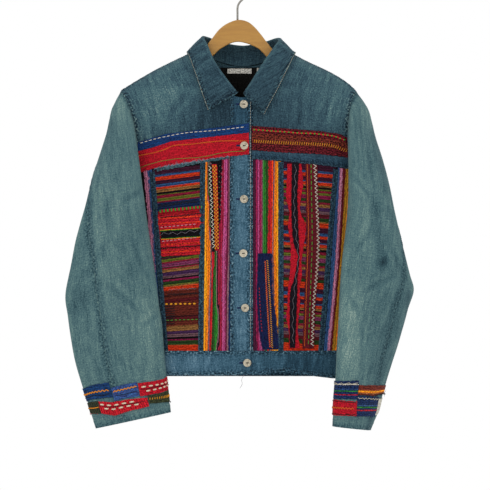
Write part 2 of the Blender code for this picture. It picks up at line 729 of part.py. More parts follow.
def back_panel():
    """The plain back below its yoke, cut in one piece."""
    top = armhole_at(RIGHT, YOKE_BACK_END)[1] - SEAM_GAP
    edges = {side: side_edge(side, -YOKE_BACK_END, -1) for side in (RIGHT, LEFT)}
    for side in (RIGHT, LEFT):
        edges[side][-1] = edges[side][-1] - np.array([0, SEAM_GAP])

    def place(s, t):
        side = RIGHT if s < 0.5 else LEFT
        outer = listed(edges[side], t)
        middle = np.array([2 * side, HEM_TOP + (top - HEM_TOP) * t])
        return middle + (outer - middle) * abs(2 * s - 1)

    rows = len(edges[RIGHT]) - 1
    cloth("back_panel", 14, rows, on_body(place, face=BACK), DENIM, "denim")


def panel_line(side, line, row):
    """The place on a line of a woven panel at a row; row 0 is at the waistband."""
    top = yoke_level(side, line[0]) - SEAM_GAP
    level = HEM_TOP + (top - HEM_TOP) * row / PANEL_ROWS
    across = line[1] + (line[0] - line[1]) * row / PANEL_ROWS
    return front_place((across, level))


def outer_line_e(row):
    """The outer edge of panel E, which runs up into the armhole at its last row."""
    first = armhole(LEFT, YOKE_FRONT_END + ARMHOLE_STEP)
    knee = (body_at(*first).x, first[1])
    if row <= PANEL_ROWS - 1:
        foot = (PANEL_E_OUTER_FOOT, HEM_TOP)
        return front_place(listed((foot, knee), row / (PANEL_ROWS - 1)))
    top = armhole(LEFT, YOKE_FRONT_END) - np.array([0, SEAM_GAP])
    return listed((first, top), row - (PANEL_ROWS - 1))


def panel_place(name, line, row):
    """The place on a panel at a line number, which may lie between two lines, and a row."""
    if name == "panel_e":
        lines = [lambda r, l=l: panel_line(LEFT, l, r) for l in PANEL_E] + [outer_line_e]
    else:
        side, table = PANELS[name]
        lines = [lambda r, l=l, side=side: panel_line(side, l, r) for l in table]
    k = min(int(line + 1e-6), len(lines) - 2)
    return lines[k](row) * (1 + k - line) + lines[k + 1](row) * (line - k)


def woven_panels():
    """The striped woven panels that fill the fronts."""
    names = [*PANELS, "panel_e"]
    for name in names:
        columns = len(PANEL_E) if name == "panel_e" else len(PANELS[name][1]) - 1

        def place(s, t, name=name, columns=columns):
            return panel_place(name, s * columns, t * PANEL_ROWS)

        cloth(name, columns, PANEL_ROWS, on_body(place), WOVEN, "woven stripe")


def side_fronts():
    """The denim sides between the woven panels and the side seams."""
    right_edge = side_edge(RIGHT, YOKE_FRONT_END, 1)
    right_edge[-1] = right_edge[-1] - np.array([0, SEAM_GAP])
    rows = len(right_edge) - 1

    def right(s, t):
        line = [across - HALF_GAP for across in SIDE_SEAM_RIGHT]
        return listed(right_edge, t) * (1 - s) + panel_line(RIGHT, line, t * PANEL_ROWS) * s

    cloth("side_front_right", 4, rows, on_body(right), DENIM, "denim")
    left_edge = side_edge(LEFT, YOKE_FRONT_END + ARMHOLE_STEP, 1)
    left_edge[-1] = armhole(LEFT, YOKE_FRONT_END + ARMHOLE_STEP + 3)
    rows = len(left_edge) - 1

    def left(s, t):
        turn, level = outer_line_e(min(t * (PANEL_ROWS - 1), PANEL_ROWS - 1.2))
        across = body_at(turn, level).x + SEAM_GAP
        return front_place((across, level)) * (1 - s) + listed(left_edge, t) * s

    cloth("side_front_left", 3, rows, on_body(left), DENIM, "denim")


def laid_on():
    """Patches, braids and strips that lie on the woven panels, made from the panels' own points."""
    for name, (panel, first, last, low, high, lift, wall, finish_name) in LAID_ON.items():
        rows = max(1, round(high - low))

        def place(s, t, panel=panel, first=first, last=last, low=low, high=high, rows=rows):
            row = round(low + t * rows) if 0 < t < 1 else (low, high)[round(t)]
            return panel_place(panel, first + (last - first) * s, row)

        cloth(name, last - first, rows, on_body(place, lift + wall), wall, finish_name)


def straps():
    """Narrow denim straps over the seams between the panels."""
    for name, (left, left_line, right, right_line, top) in STRAPS.items():
        last = len(PANELS[left][1]) - 1
        ends = (left, left_line), (right, right_line)
        middle = (left, last), (right, 0)

        def place(s, t, ends=ends, middle=middle, top=top):
            row = top if t > 0.999 else round(t * PANEL_ROWS)
            if s < 0.25 or s > 0.75:
                return panel_place(*ends[round(s)], row)
            return (panel_place(*middle[0], row) + panel_place(*middle[1], row)) / 2

        cloth(name, 2, PANEL_ROWS, on_body(place, SEAM_GAP + WOVEN), WOVEN, "denim dark")


def chest_bands():
    """Woven bands across the chest, and the denim strap along the left yoke seam."""

    def over(across):
        share = min(1.0, max(0.0, (across + 40) / 14))
        return TRIM + BAND_LIFT + (BAND_OVER_PLACKET - BAND_LIFT) * share

    bands = (
        ("band_blue_right", BAND_BLUE, 1, over, TRIM, "woven blue"),
        ("band_red_right", BAND_RED, 2, over, TRIM, "woven red"),
        ("band_maroon_left", BAND_MAROON, 2, BAND_LIFT + WOVEN, WOVEN, "woven maroon"),
        ("yoke_strap_left", YOKE_STRAP, 1, BAND_LIFT + WOVEN, WOVEN, "denim dark"),
    )
    for name, (low, high), rows, lift, wall, finish_name in bands:
        def place(s, t, low=low, high=high):
            return front_place(along(low, s)) * (1 - t) + front_place(along(high, s)) * t

        cloth(name, 12, rows, on_body(place, lift), wall, finish_name)


def along(points, share):
    """The point at a share of the way across a line through points."""
    points = np.array(points, float)
    across = points[0, 0] + (points[-1, 0] - points[0, 0]) * share
    order = np.argsort(points[:, 0])
    return np.array([across, np.interp(across, points[order, 0], points[order, 1])])


def plackets():
    """The button band on the right front and the stand beneath it on the left front."""
    bands = (
        ("placket_right", PLACKET_EDGE + HALF_GAP, FRONT_EDGE, PLACKET_TOP, PLACKET_LIFT),
        ("placket_left", UNDER_EDGE, LEFT_EDGE - HALF_GAP, STAND_TOP, STAND_LIFT),
    )
    for name, left, right, tops, lift in bands:
        def place(s, t, left=left, right=right, tops=tops):
            top = float(listed([[level] for level in tops], s)[0])
            return front_place((left + (right - left) * s, HEM_TOP + (top - HEM_TOP) * t))

        cloth(name, len(tops) - 1, 11, on_body(place, lift), DOUBLED, "denim")


def waistband():
    """The waistband in three pieces, buttoned at the front, its lower edge slightly wavy."""
    top = HEM_TOP - SEAM_GAP
    edge = np.array(WAISTBAND_EDGE, float).T

    def tuck(across):
        return WAISTBAND_LIFT - 2.8 * min(1.0, max(0.0, (29 - across) / 11))

    for name, stops, lift in (
        ("waistband_right", WAIST_RIGHT, WAISTBAND_LIFT),
        ("waistband_left", WAIST_LEFT, tuck),
    ):
        def place(s, t, stops=stops):
            turn = turn_of(float(listed([[stop] for stop in stops], s)[0]), HEM_TOP)
            low = np.interp(body_at(turn, HEM_TOP).x, *edge)
            return np.array([turn, low + (top - low) * t])

        cloth(name, len(stops) - 1, 2, on_body(place, lift), DOUBLED, "denim dark")

    def back(s, t):
        turn = -1 - 2 * s
        return np.array([turn if turn >= -2 else turn + 4, HEM + (top - HEM) * t])

    cloth("waistband_back", 16, 2, on_body(back, WAISTBAND_LIFT, BACK), DOUBLED, "denim dark")


def clear_of_body(point, least):
    """A point moved out, where it needs it, to its least height over the body."""
    across = point.x - CENTRE_X
    face = FRONT if point.y < body_size(point.z)[4] else BACK
    turn = turn_of(across, point.z, face)
    under = body_point(turn, point.z)
    way = (body_point(turn, point.z, 1) - under).normalized()
    return point + way * max(0.0, least - (point - under).dot(way))


def collar():
    """The collar: a stand that rises from the neck seam, a roll and a leaf that falls outside it."""
    stations = []
    for (across, level, face), roll, edge in COLLAR:
        seam = body_point(turn_of(across, level, face), level, -DENIM - SEAM_GAP)
        shift = Vector((CENTRE_X, 0, 0))
        stations.append((seam, Vector(roll) + shift, Vector(edge) + shift))
    stations = np.array(stations, float)
    numbers = np.arange(len(stations))

    def at(s, t, depth):
        seam, roll, edge = (Vector(point) for point in smooth(numbers, stations, s * numbers[-1]))
        up = (roll * 2 - seam - edge).normalized()
        out = ((edge - seam) - up * (edge - seam).dot(up)).normalized()
        radius = COLLAR_ROLL - depth
        middle = roll - (out + up) * COLLAR_ROLL
        if t <= STAND_SHARE:
            return (seam + out * depth).lerp(middle - out * radius, t / STAND_SHARE)
        if t < ROLL_SHARE:
            a = math.pi * (t - STAND_SHARE) / (ROLL_SHARE - STAND_SHARE)
            return middle - out * radius * math.cos(a) + up * radius * math.sin(a)
        share = (t - ROLL_SHARE) / (1 - ROLL_SHARE)
        crown = out * COLLAR_CROWN * math.sin(math.pi * share)
        return clear_of_body((middle + out * COLLAR_ROLL).lerp(edge, share) + crown, LEAF_LIFT) - out * depth

    cloth("collar", COLLAR_COLUMNS, COLLAR_ROWS, at, COLLAR_WALL, "denim")


def neck_inside():
    """The black facing inside the back neck, and its two bare labels."""

    def band(left, right, top, bottom):
        def place(s, t):
            level = bottom + (top - bottom) * t
            return np.array([turn_of(left + (right - left) * s, level, BACK), level])

        return place

    inside = -DENIM - FACING_GAP
    cloth("lining_back", 14, 4, on_body(band(*FACING), inside, BACK), TRIM, "lining")
    for name, size in LABELS.items():
        cloth(name, 3, 1, on_body(band(*size), inside - TRIM - LABEL_GAP, BACK), LABEL, "label")


def sleeves():
    """Each sleeve in two pieces, the upper one over the front and the under one round the outside."""
    for side, word in ((RIGHT, "right"), (LEFT, "left")):
        def upper(s, t, depth, side=side):
            ring = LAST_RING * (1 - t)
            first, last = seam_angle(side, 0, ring, HALF_GAP), seam_angle(side, 1, ring, -HALF_GAP)
            return sleeve_point(side, first + (last - first) * s, ring, -depth)

        def under(s, t, depth, side=side):
            ring = LAST_RING * (1 - t)
            first, last = seam_angle(side, 1, ring, HALF_GAP), 360 + seam_angle(side, 0, ring, -HALF_GAP)
            return sleeve_point(side, first + (last - first) * s, ring, -depth)

        cloth(f"sleeve_{word}_upper", UPPER_COLUMNS, SLEEVE_ROWS, upper, DENIM, "denim")
        cloth(f"sleeve_{word}_under", UNDER_COLUMNS, SLEEVE_ROWS, under, DENIM, "denim")


def row_over_hem(side, height):
    """The row of the sleeve at a height over its hem."""
    middles = RINGS[side].mean(axis=1)
    steps = np.linalg.norm(np.diff(middles, axis=0), axis=1)[::-1]
    heights = np.concatenate([[0], np.cumsum(steps)])
    return float(np.interp(height, heights, np.arange(len(heights)))) * SLEEVE_ROWS / LAST_RING


def on_sleeve(side, column, row, lift):
    """A point over the sleeve's own mesh, straight between its points; row 0 is at the hem."""
    k, j = math.floor(column + 1e-6), math.floor(row + 1e-6)
    corners = []
    for corner_row in (j, j + 1):
        ring = LAST_RING * (1 - corner_row / SLEEVE_ROWS)
        pair = [sleeve_point(side, column_angle(side, ring, c), ring, lift) for c in (k, k + 1)]
        corners.append(pair[0].lerp(pair[1], column - k))
    return corners[0].lerp(corners[1], row - j)


def steps_between(first, last):
    """First and last with the whole numbers that lie between them."""
    whole = range(math.floor(first), math.ceil(last))
    return [first, *(k for k in whole if first + 0.1 < k < last - 0.1), last]


def cuff_patches():
    """Woven patches sewn round both sleeve ends, made from the sleeves' own points."""
    for side, word in ((RIGHT, "right"), (LEFT, "left")):
        for number, (edges, finish_name) in enumerate(CUFF_PATCHES[side], start=1):
            angles = [angle for angle, low, high in edges]
            lows = [row_over_hem(side, low) for angle, low, high in edges]
            highs = [row_over_hem(side, high) for angle, low, high in edges]
            ring = LAST_RING * (1 - (min(lows) + max(highs)) / 2 / SLEEVE_ROWS)
            stops = [column_at(side, ring, angle) for angle in angles]
            columns = steps_between(stops[0], stops[-1])
            between = range(math.ceil(min(lows)), math.floor(max(highs)) + 1)

            def at(s, t, depth, side=side, edges=(stops, lows, highs), columns=columns, between=between):
                column = float(listed([[stop] for stop in columns], s)[0])
                bottom, top = [float(np.interp(column, edges[0], heights)) for heights in edges[1:]]
                rows = [bottom]
                for left, row in zip(range(len(between), 0, -1), between):
                    rows.append(min(max(row, rows[-1] + THIN_ROW), top - THIN_ROW * left))
                row = float(listed([[stop] for stop in (*rows, top)], t)[0])
                return on_sleeve(side, column, row, PATCH_GAP + TRIM - depth)

            cloth(f"cuff_{word}_{number}", len(columns) - 1, len(between) + 1, at, TRIM, finish_name)


def facing_front():
    """The turn that points +Z along -Y."""
    return Vector((0, 0, 1)).rotation_difference(Vector((0, -1, 0))).to_matrix()


def button_mesh():
    """A round button with a raised rim, its back at the origin and its face to the front."""
    mesh = bmesh.new()
    line = [mesh.verts.new((radius * MM, 0, height * MM)) for radius, height in BUTTON_PROFILE]
    edges = [mesh.edges.new(pair) for pair in zip(line, line[1:])]
    bmesh.ops.spin(
        mesh, geom=line + edges, cent=(0, 0, 0), axis=(0, 0, 1), angle=math.tau,
        steps=BUTTON_SIDES, use_merge=True,
    )
    bmesh.ops.remove_doubles(mesh, verts=mesh.verts[:], dist=1e-6)
    bmesh.ops.recalc_face_normals(mesh, faces=mesh.faces[:])
    bmesh.ops.rotate(mesh, verts=mesh.verts[:], cent=(0, 0, 0), matrix=facing_front())
    data = bpy.data.meshes.new("button")
    mesh.to_mesh(data)
    mesh.free()
    data.materials.append(finish("pearl"))
    return data


def drill_mesh():
    """The cutter for one of a button's holes."""
    mesh = bmesh.new()
    radius = HOLE_RADIUS * MM
    bmesh.ops.create_cone(mesh, cap_ends=True, segments=6, radius1=radius, radius2=radius, depth=12 * MM)
    bmesh.ops.rotate(mesh, verts=mesh.verts[:], cent=(0, 0, 0), matrix=facing_front())
    data = bpy.data.meshes.new("drill")
    mesh.to_mesh(data)
    mesh.free()
    return data


def buttons():
    """Six sewn buttons with two holes each."""
    round_body, drill = button_mesh(), drill_mesh()
    for number, (across, level, seat) in enumerate(BUTTONS, start=1):
        button = bpy.data.objects.new(f"button_{number}", round_body)
        bpy.context.collection.objects.link(button)
        button.location = body_point(turn_of(across, level), level, seat + BUTTON_SEAT_GAP) * MM
        for sign in (-1, 1):
            cutter = bpy.data.objects.new(f"button_{number}_drill", drill)
            bpy.context.collection.objects.link(cutter)
            cutter.location = button.location + Vector((sign * HOLE_SPACING / 2 * MM, 0, 0))
            cutter.hide_render = True
            cutter.display_type = "WIRE"
            cut = button.modifiers.new("hole", "BOOLEAN")
            cut.object = cutter
            cut.operation = "DIFFERENCE"


def hanger_body():
    """The wooden board that the shoulders rest on."""
    mesh = bmesh.new()
    front = (HANGER_Y - HANGER_THICK / 2) * MM
    outline = [mesh.verts.new((x * MM, front, z * MM)) for x, z in HANGER_TOP + HANGER_UNDER]
    face = mesh.faces.new(outline)
    grown = bmesh.ops.extrude_face_region(mesh, geom=[face])["geom"]
    moved = [part for part in grown if isinstance(part, bmesh.types.BMVert)]
    bmesh.ops.translate(mesh, verts=moved, vec=(0, HANGER_THICK * MM, 0))
    bmesh.ops.recalc_face_normals(mesh, faces=mesh.faces[:])
    data = bpy.data.meshes.new("hanger_body")
    mesh.to_mesh(data)
    mesh.free()
    data.materials.append(finish("wood"))
    board = bpy.data.objects.new("hanger_body", data)
    bpy.context.collection.objects.link(board)
    rounding = board.modifiers.new("rounded edges", "BEVEL")
    rounding.width = HANGER_ROUNDING * MM
    rounding.segments = 2
    rounding.limit_method = "ANGLE"
    rounding.angle_limit = math.radians(60)


def hanger_hook():
    """The wire hook that stands in the board."""
    curve = bpy.data.curves.new("hanger_hook", "CURVE")
    curve.dimensions = "3D"
    curve.bevel_depth = HOOK_WIRE * MM
    curve.bevel_resolution = 2
    curve.use_fill_caps = True
    centre = HOOK_WIRE - HOOK_RADIUS
    angles = [math.radians(a) for a in range(HOOK_FIRST, HOOK_LAST, HOOK_STEP)]
    bow = [(HOOK_RADIUS * math.cos(a), centre + HOOK_RADIUS * math.sin(a)) for a in angles]
    route = [*HOOK_STEM, *bow]
    line = curve.splines.new("POLY")
    line.points.add(len(route) - 1)
    for point, (x, z) in zip(line.points, route):
        point.co = (x * MM, HANGER_Y * MM, z * MM, 1)
    hook = bpy.data.objects.new("hanger_hook", curve)
    bpy.context.collection.objects.link(hook)
    curve.materials.append(finish("steel"))


def build():
    """The whole jacket and its hanger."""
    for thing in list(bpy.data.objects):
        bpy.data.objects.remove(thing)
    front_yokes()
    back_yoke()
    back_panel()
    side_fronts()
    woven_panels()
    laid_on()
    straps()
    chest_bands()
    plackets()
    waistband()
    collar()
    neck_inside()
    sleeves()
    cuff_patches()
    buttons()
    hanger_body()
    hanger_hook()


build()
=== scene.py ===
"""Looks of a buttoned denim jacket with woven patchwork fronts, hanging on a wooden hanger.

Tables are in millimetres and the scene is in metres. +Z is up and the fronts face -Y. Left and right are the
wearer's, so the right front is at -X. Across is measured from the jacket's centre front, level is the height
Z, and a sheet of cloth is worked out from the same form as its solid, with finer folds.
"""

import math

import bmesh
import bpy
import numpy as np
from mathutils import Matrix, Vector, noise


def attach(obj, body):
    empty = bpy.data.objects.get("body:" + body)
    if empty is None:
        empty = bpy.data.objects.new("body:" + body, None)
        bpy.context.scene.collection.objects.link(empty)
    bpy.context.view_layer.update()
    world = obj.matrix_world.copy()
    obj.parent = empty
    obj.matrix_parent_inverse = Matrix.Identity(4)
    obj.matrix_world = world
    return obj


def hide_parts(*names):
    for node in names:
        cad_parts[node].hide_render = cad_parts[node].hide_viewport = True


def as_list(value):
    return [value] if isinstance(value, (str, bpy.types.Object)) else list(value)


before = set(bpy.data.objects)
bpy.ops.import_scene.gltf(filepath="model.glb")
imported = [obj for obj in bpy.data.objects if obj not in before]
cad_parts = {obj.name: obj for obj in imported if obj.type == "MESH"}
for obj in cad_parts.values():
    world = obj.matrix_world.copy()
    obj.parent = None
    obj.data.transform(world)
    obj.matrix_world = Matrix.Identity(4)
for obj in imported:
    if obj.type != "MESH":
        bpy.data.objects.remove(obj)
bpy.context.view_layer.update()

bl_info = {
    "name": "Patchwork denim jacket",
    "version": (1, 0, 0),
    "blender": (4, 5, 0),
    "location": "3D View > Sidebar > Jacket",
    "description": "Builds the cloth, sewing and finishes of a denim jacket on its hanger",
    "category": "Object",
}

MM = 0.001
RIGHT, LEFT = -1, 1
FRONT, BACK = 0, 1
SIDES = ((RIGHT, "right"), (LEFT, "left"))

# Walls of the cloth, and the gap that parts two pieces at a seam
DENIM = 1.5
WOVEN = 1.2
DOUBLED = 2.2
TRIM = 1.0
SEAM_GAP = 0.3
HALF_GAP = SEAM_GAP / 2
CENTRE_X = 10.2
TO_CENTRE = np.array([CENTRE_X, 0, 0])

NECK_POINT = -131.0
BACK_NECK = -168.0
SHOULDER_TIP = -214.0
UNDERARM = -452.0
HEM_TOP = -695.3
HEM = -744.0

# Body sections: level, half-width on the wearer's right and left, depth before and behind, middle
BODY = (
    (-120, 60, 55, 25, 24, 3),
    (-131, 78, 72, 28, 25, 3),
    (-143, 98, 90, 30, 27, 3),
    (-157, 127, 115, 32, 29, 3),
    (-180, 172, 164, 34, 32, 3),
    (-202, 209, 198, 37, 34, 4),
    (-214, 226, 209, 39, 35, 4),
    (-240, 237, 226, 41, 36, 5),
    (-300, 241, 236, 43, 37, 6),
    (-452, 243, 243, 46, 38, 8),
    (-600, 237, 237, 46, 38, 8),
    (-744, 226, 226, 44, 37, 8),
)
ROUNDNESS = 2.6
FOLD_LINE = 0.003
MIDDLE_DEPTH = 4

# Folds of the body: face, across, top and bottom level, lean across for each mm down, half-width, depth
BODY_FOLDS = (
    (FRONT, -118, -600, -770, 0.03, 15, 3.0),
    (FRONT, -186, -345, -540, 0.05, 16, 4.0),
    (FRONT, 92, -640, -790, 0.02, 12, 3.5),
    (FRONT, 122, -625, -790, -0.03, 13, 3.0),
    (FRONT, 190, -370, -560, -0.05, 16, 4.0),
    (BACK, -150, -330, -780, 0.06, 26, 6.0),
    (BACK, -62, -420, -790, 0.03, 20, 4.0),
    (BACK, 40, -380, -785, -0.02, 22, 4.5),
    (BACK, 142, -310, -775, -0.07, 27, 6.5),
)

# Height of the ridges beside a crease, and how far its line sways on the body (mm) and on a sleeve (degrees)
RIDGE_HEIGHT = 0.9
CREASE_SWAY = 3
SLEEVE_SWAY = 2

# Creases of the body: face, across, level, half length, half-width, lean in degrees, depth
BODY_CREASES = (
    (FRONT, -168, -262, 42, 7, 12, 1.2),
    (FRONT, -120, -236, 30, 9, -24, 0.9),
    (FRONT, -78, -268, 26, 8, 8, 0.8),
    (FRONT, 152, -250, 40, 8, -14, 1.1),
    (FRONT, 104, -262, 30, 8, -4, 0.8),
    (FRONT, 60, -285, 22, 6, 18, 0.6),
    (FRONT, -4, -365, 22, 6, 80, 0.7),
    (FRONT, 4, -462, 20, 6, 96, 0.7),
    (FRONT, 0, -566, 24, 6, 84, 0.8),
    (FRONT, 6, -668, 22, 6, 93, 0.7),
    (FRONT, -112, -402, 34, 7, 84, 0.7),
    (FRONT, -104, -566, 36, 7, 95, 0.7),
    (FRONT, 40, -640, 30, 6, 4, 0.8),
    (FRONT, 82, -722, 20, 4.5, 3, 1.3),
    (FRONT, 101, -720, 22, 4.0, -4, 1.2),
    (FRONT, 117, -724, 20, 4.5, 6, 1.3),
    (FRONT, 138, -718, 22, 5.0, 0, 1.0),
    (FRONT, -60, -722, 20, 5.5, -4, 0.7),
    (FRONT, -150, -716, 26, 6, 5, 1.0),
    (BACK, -120, -300, 44, 9, 28, 1.4),
    (BACK, 118, -292, 46, 9, -26, 1.4),
    (BACK, -40, -262, 34, 8, 82, 0.8),
    (BACK, 60, -272, 30, 8, 98, 0.8),
    (BACK, -96, -470, 60, 10, 14, 1.5),
    (BACK, 6, -520, 66, 11, -8, 1.4),
    (BACK, 96, -482, 58, 10, -12, 1.5),
    (BACK, -150, -640, 44, 9, 4, 1.4),
    (BACK, 148, -630, 46, 9, -5, 1.4),
    (BACK, -20, -722, 20, 5, 3, 1.0),
    (BACK, 88, -722, 20, 5, -4, 1.0),
)

# Armhole as seen from the front, each point (across, level): top, front, underarm, back
ARMHOLES = {
    RIGHT: ((-226, -214), (-198, -325), (-243, -452), (-202, -325)),
    LEFT: ((209, -214), (196.5, -325), (243, -452), (200, -325)),
}
ARMHOLE_STEP = 15
YOKE_FRONT_END = 105
YOKE_BACK_END = -75
SIDE_ROWS = 7

# Sleeve head: the way in which the cloth leaves the armhole's top, front, underarm and back
SLEEVE_LEAVING = {
    RIGHT: ((-75, 0, -160), (10, -150, -20), (-60, 0, -80), (-220, 80, -60)),
    LEFT: ((75, 0, -160), (-10, -150, -20), (60, 0, -80), (220, 80, -60)),
}
HEAD_TURN = 90
HEAD_RINGS = 7
HEAD_PULL = 3.0

# Rings over which the sleeve leaves the armhole's straight steps, and over which its creases grow
START_RINGS = 0.25
CALM_RINGS = 4

# Sleeve below the head: outer (across, level), inner (across, level), middle depth, half thickness, turn
SLEEVE_TUBES = {
    RIGHT: (
        (-294, -436, -172, -494, -49, 27, 2),
        (-309, -490, -165, -535, -48, 25, 0),
        (-320, -545, -158, -582, -47, 24, 0),
        (-329, -592, -153, -618, -46, 23, 0),
        (-325, -630, -149, -652, -46, 22, 0),
        (-319, -670, -146.5, -690, -46, 22, 0),
        (-312, -710, -143, -727, -46, 21, 0),
        (-300, -752, -139.5, -763, -46, 20, 0),
        (-289, -786, -136.8, -786, -46, 19, 0),
        (-281, -812, -135, -798, -46, 18.5, 0),
        (-272, -839, -133.8, -809, -46, 18, 0),
    ),
    LEFT: (
        (285, -440, 190, -492, -50, 30, 26),
        (298, -492, 185.5, -524, -46, 31, 29),
        (310, -540, 181, -562, -43, 31, 31),
        (318, -574, 178.5, -594, -42, 31, 32),
        (308, -615, 176.5, -628, -42, 31, 35),
        (296, -657, 174.5, -665, -42, 30, 39),
        (284, -697, 172.4, -701, -45, 30, 43),
        (268, -746, 170.6, -744, -47, 28, 47),
        (257, -786, 167.5, -782, -47, 26, 52),
        (250, -812, 166, -808, -47, 26, 56),
        (236.5, -843, 165.6, -834, -47, 26, 62),
    ),
}
BACK_DROP = (45, 27, 16, 9, 4, 0, 0, 0, 0, 0, 0)

# Folds of the sleeves: ring number, angle, reach along in rings, reach round in degrees, slant, depth
SLEEVE_FOLDS = {
    RIGHT: (
        (9.4, 150, 0.9, 26, 10, 4.0),
        (10.6, 40, 0.8, 24, -12, 3.5),
        (7.2, 75, 1.6, 15, 6, 3.0),
        (12.6, 110, 1.7, 15, -5, 2.5),
        (9.8, 255, 1.2, 24, 12, 4.0),
        (12.0, 300, 1.5, 20, -8, 3.0),
    ),
    LEFT: (
        (9.2, 145, 0.9, 25, 10, 4.0),
        (10.4, 35, 0.8, 24, -10, 4.0),
        (7.6, 95, 1.8, 15, -6, 3.0),
        (12.4, 70, 1.6, 15, 5, 3.0),
        (9.9, 250, 1.2, 22, -12, 4.0),
        (12.2, 310, 1.5, 20, 8, 3.0),
    ),
}

# Creases of both sleeves: ring number, angle, reach along in rings, reach round in degrees, slant, depth
SLEEVE_CREASES = (
    (4.6, 70, 1.3, 9, 12, 1.2),
    (5.6, 112, 1.1, 8, -10, 1.1),
    (6.6, 40, 1.2, 8, 8, 1.0),
    (8.3, 128, 0.5, 11, 16, 1.3),
    (8.9, 62, 0.6, 10, -12, 1.2),
    (9.9, 100, 0.45, 14, 20, 1.4),
    (10.8, 140, 0.5, 11, -14, 1.2),
    (11.5, 78, 0.9, 8, 8, 1.0),
    (13.1, 120, 1.2, 7, -5, 1.0),
    (13.8, 60, 1.0, 7, 6, 0.9),
    (14.9, 95, 1.0, 6, -4, 0.9),
    (16.4, 118, 0.6, 6, 3, 0.8),
    (16.5, 62, 0.6, 6, -3, 0.8),
    (8.0, 230, 1.4, 11, -12, 1.6),
    (10.4, 285, 0.6, 14, 16, 1.6),
    (13.0, 262, 1.3, 8, 6, 1.3),
    (15.4, 300, 1.0, 8, -5, 1.1),
)

# Fullness of the sleeve heads beyond the armhole's top: its height, and its ring, reach, angle and spread
HEAD_PUFF = {RIGHT: 5.5, LEFT: 8.5}
PUFF_PLACE = (1.3, 0.95, 12, 42)

# Seams that part the upper from the under sleeve: (ring number, angle) down the front and down the back
SLEEVE_SEAMS = {
    RIGHT: (
        ((0, -75), (6, 8), (7.9, 46), (9, 63), (10.2, 71), (12, 73), (17, 76)),
        ((0, 180), (7, 270), (17, 258)),
    ),
    LEFT: (
        ((0, -75), (7, 12), (9, 48), (10.6, 66), (12, 69), (13.1, 73), (17, 74)),
        ((0, 180), (7, 270), (17, 245)),
    ),
}

# Yoke seams and necklines of the fronts, (across, level)
YOKE_SEAM = {RIGHT: ((-202.6, -356.3), (-23.65, -333)), LEFT: ((202.8, -356.3), (18.65, -333))}
NECKLINE = {
    RIGHT: ((-23.65, -293), (-23.65, -252), (-23.65, -213), (-45, -192.5), (-62, -168.5), (-73, -150)),
    LEFT: ((18.65, -295), (18.65, -256), (18.65, -217), (41, -193), (58, -168.5), (68, -150)),
}

# Back neckline from the centre out, for a neck point at half the width that is given
BACK_NECKLINE = ((24, -165.5), (48, -158), (70, -145))
NECKLINE_HALF = 78
NECK_SHARE = 5 / 11

# Front edges across the closing: the right front buttons over the left
PLACKET_EDGE = -23.5
FRONT_EDGE = 14.8
UNDER_EDGE = -19.0
LEFT_EDGE = 18.5
PLACKET_LIFT = 0.8
STAND_LIFT = -1.8
PLACKET_TOP = (-214, -224.5, -226, -227, -228)
STAND_TOP = (-226, -226, -226, -223.5, -217.5)

# Woven panels of the fronts: lines down them, each (across at the yoke seam, across at the waistband)
SIDE_SEAM_RIGHT = (-190.5, -166)
PANELS = {
    "strip_side_right": (RIGHT, ((-190.35, -165.85), (-178.8, -153.2), (-174, -148.4), (-169.15, -143.55))),
    "panel_a": (RIGHT, ((-168.85, -143.25), (-164.2, -138.6), (-79.3, -83), (-74.65, -78.35))),
    "panel_b": (RIGHT, ((-74.35, -78.05), (-69.7, -73.4), (-23.65, -23.65))),
    "panel_c": (LEFT, ((18.65, 18.65), (65.5, 65.5), (70.15, 70.15))),
    "panel_d": (LEFT, ((70.45, 70.45), (75.1, 75.1), (167.7, 139.5), (172.35, 144.15))),
}
PANEL_E = ((172.65, 144.45), (177.3, 149.1), (190, 172))
PANEL_E_OUTER_FOOT = 203.0
PANEL_E_ROWS = 11

# Straps over the seams: the panels on both sides, the line of each that the strap reaches, share of height
STRAPS = {
    "strap_1": ("strip_side_right", 2, "panel_a", 1, 11.6 / 12),
    "strap_2": ("panel_a", 2, "panel_b", 1, 11.8 / 12),
    "strap_3": ("panel_c", 1, "panel_d", 1, 11.8 / 12),
    "strap_4": ("panel_d", 2, "panel_e", 1, 11.8 / 12),
}

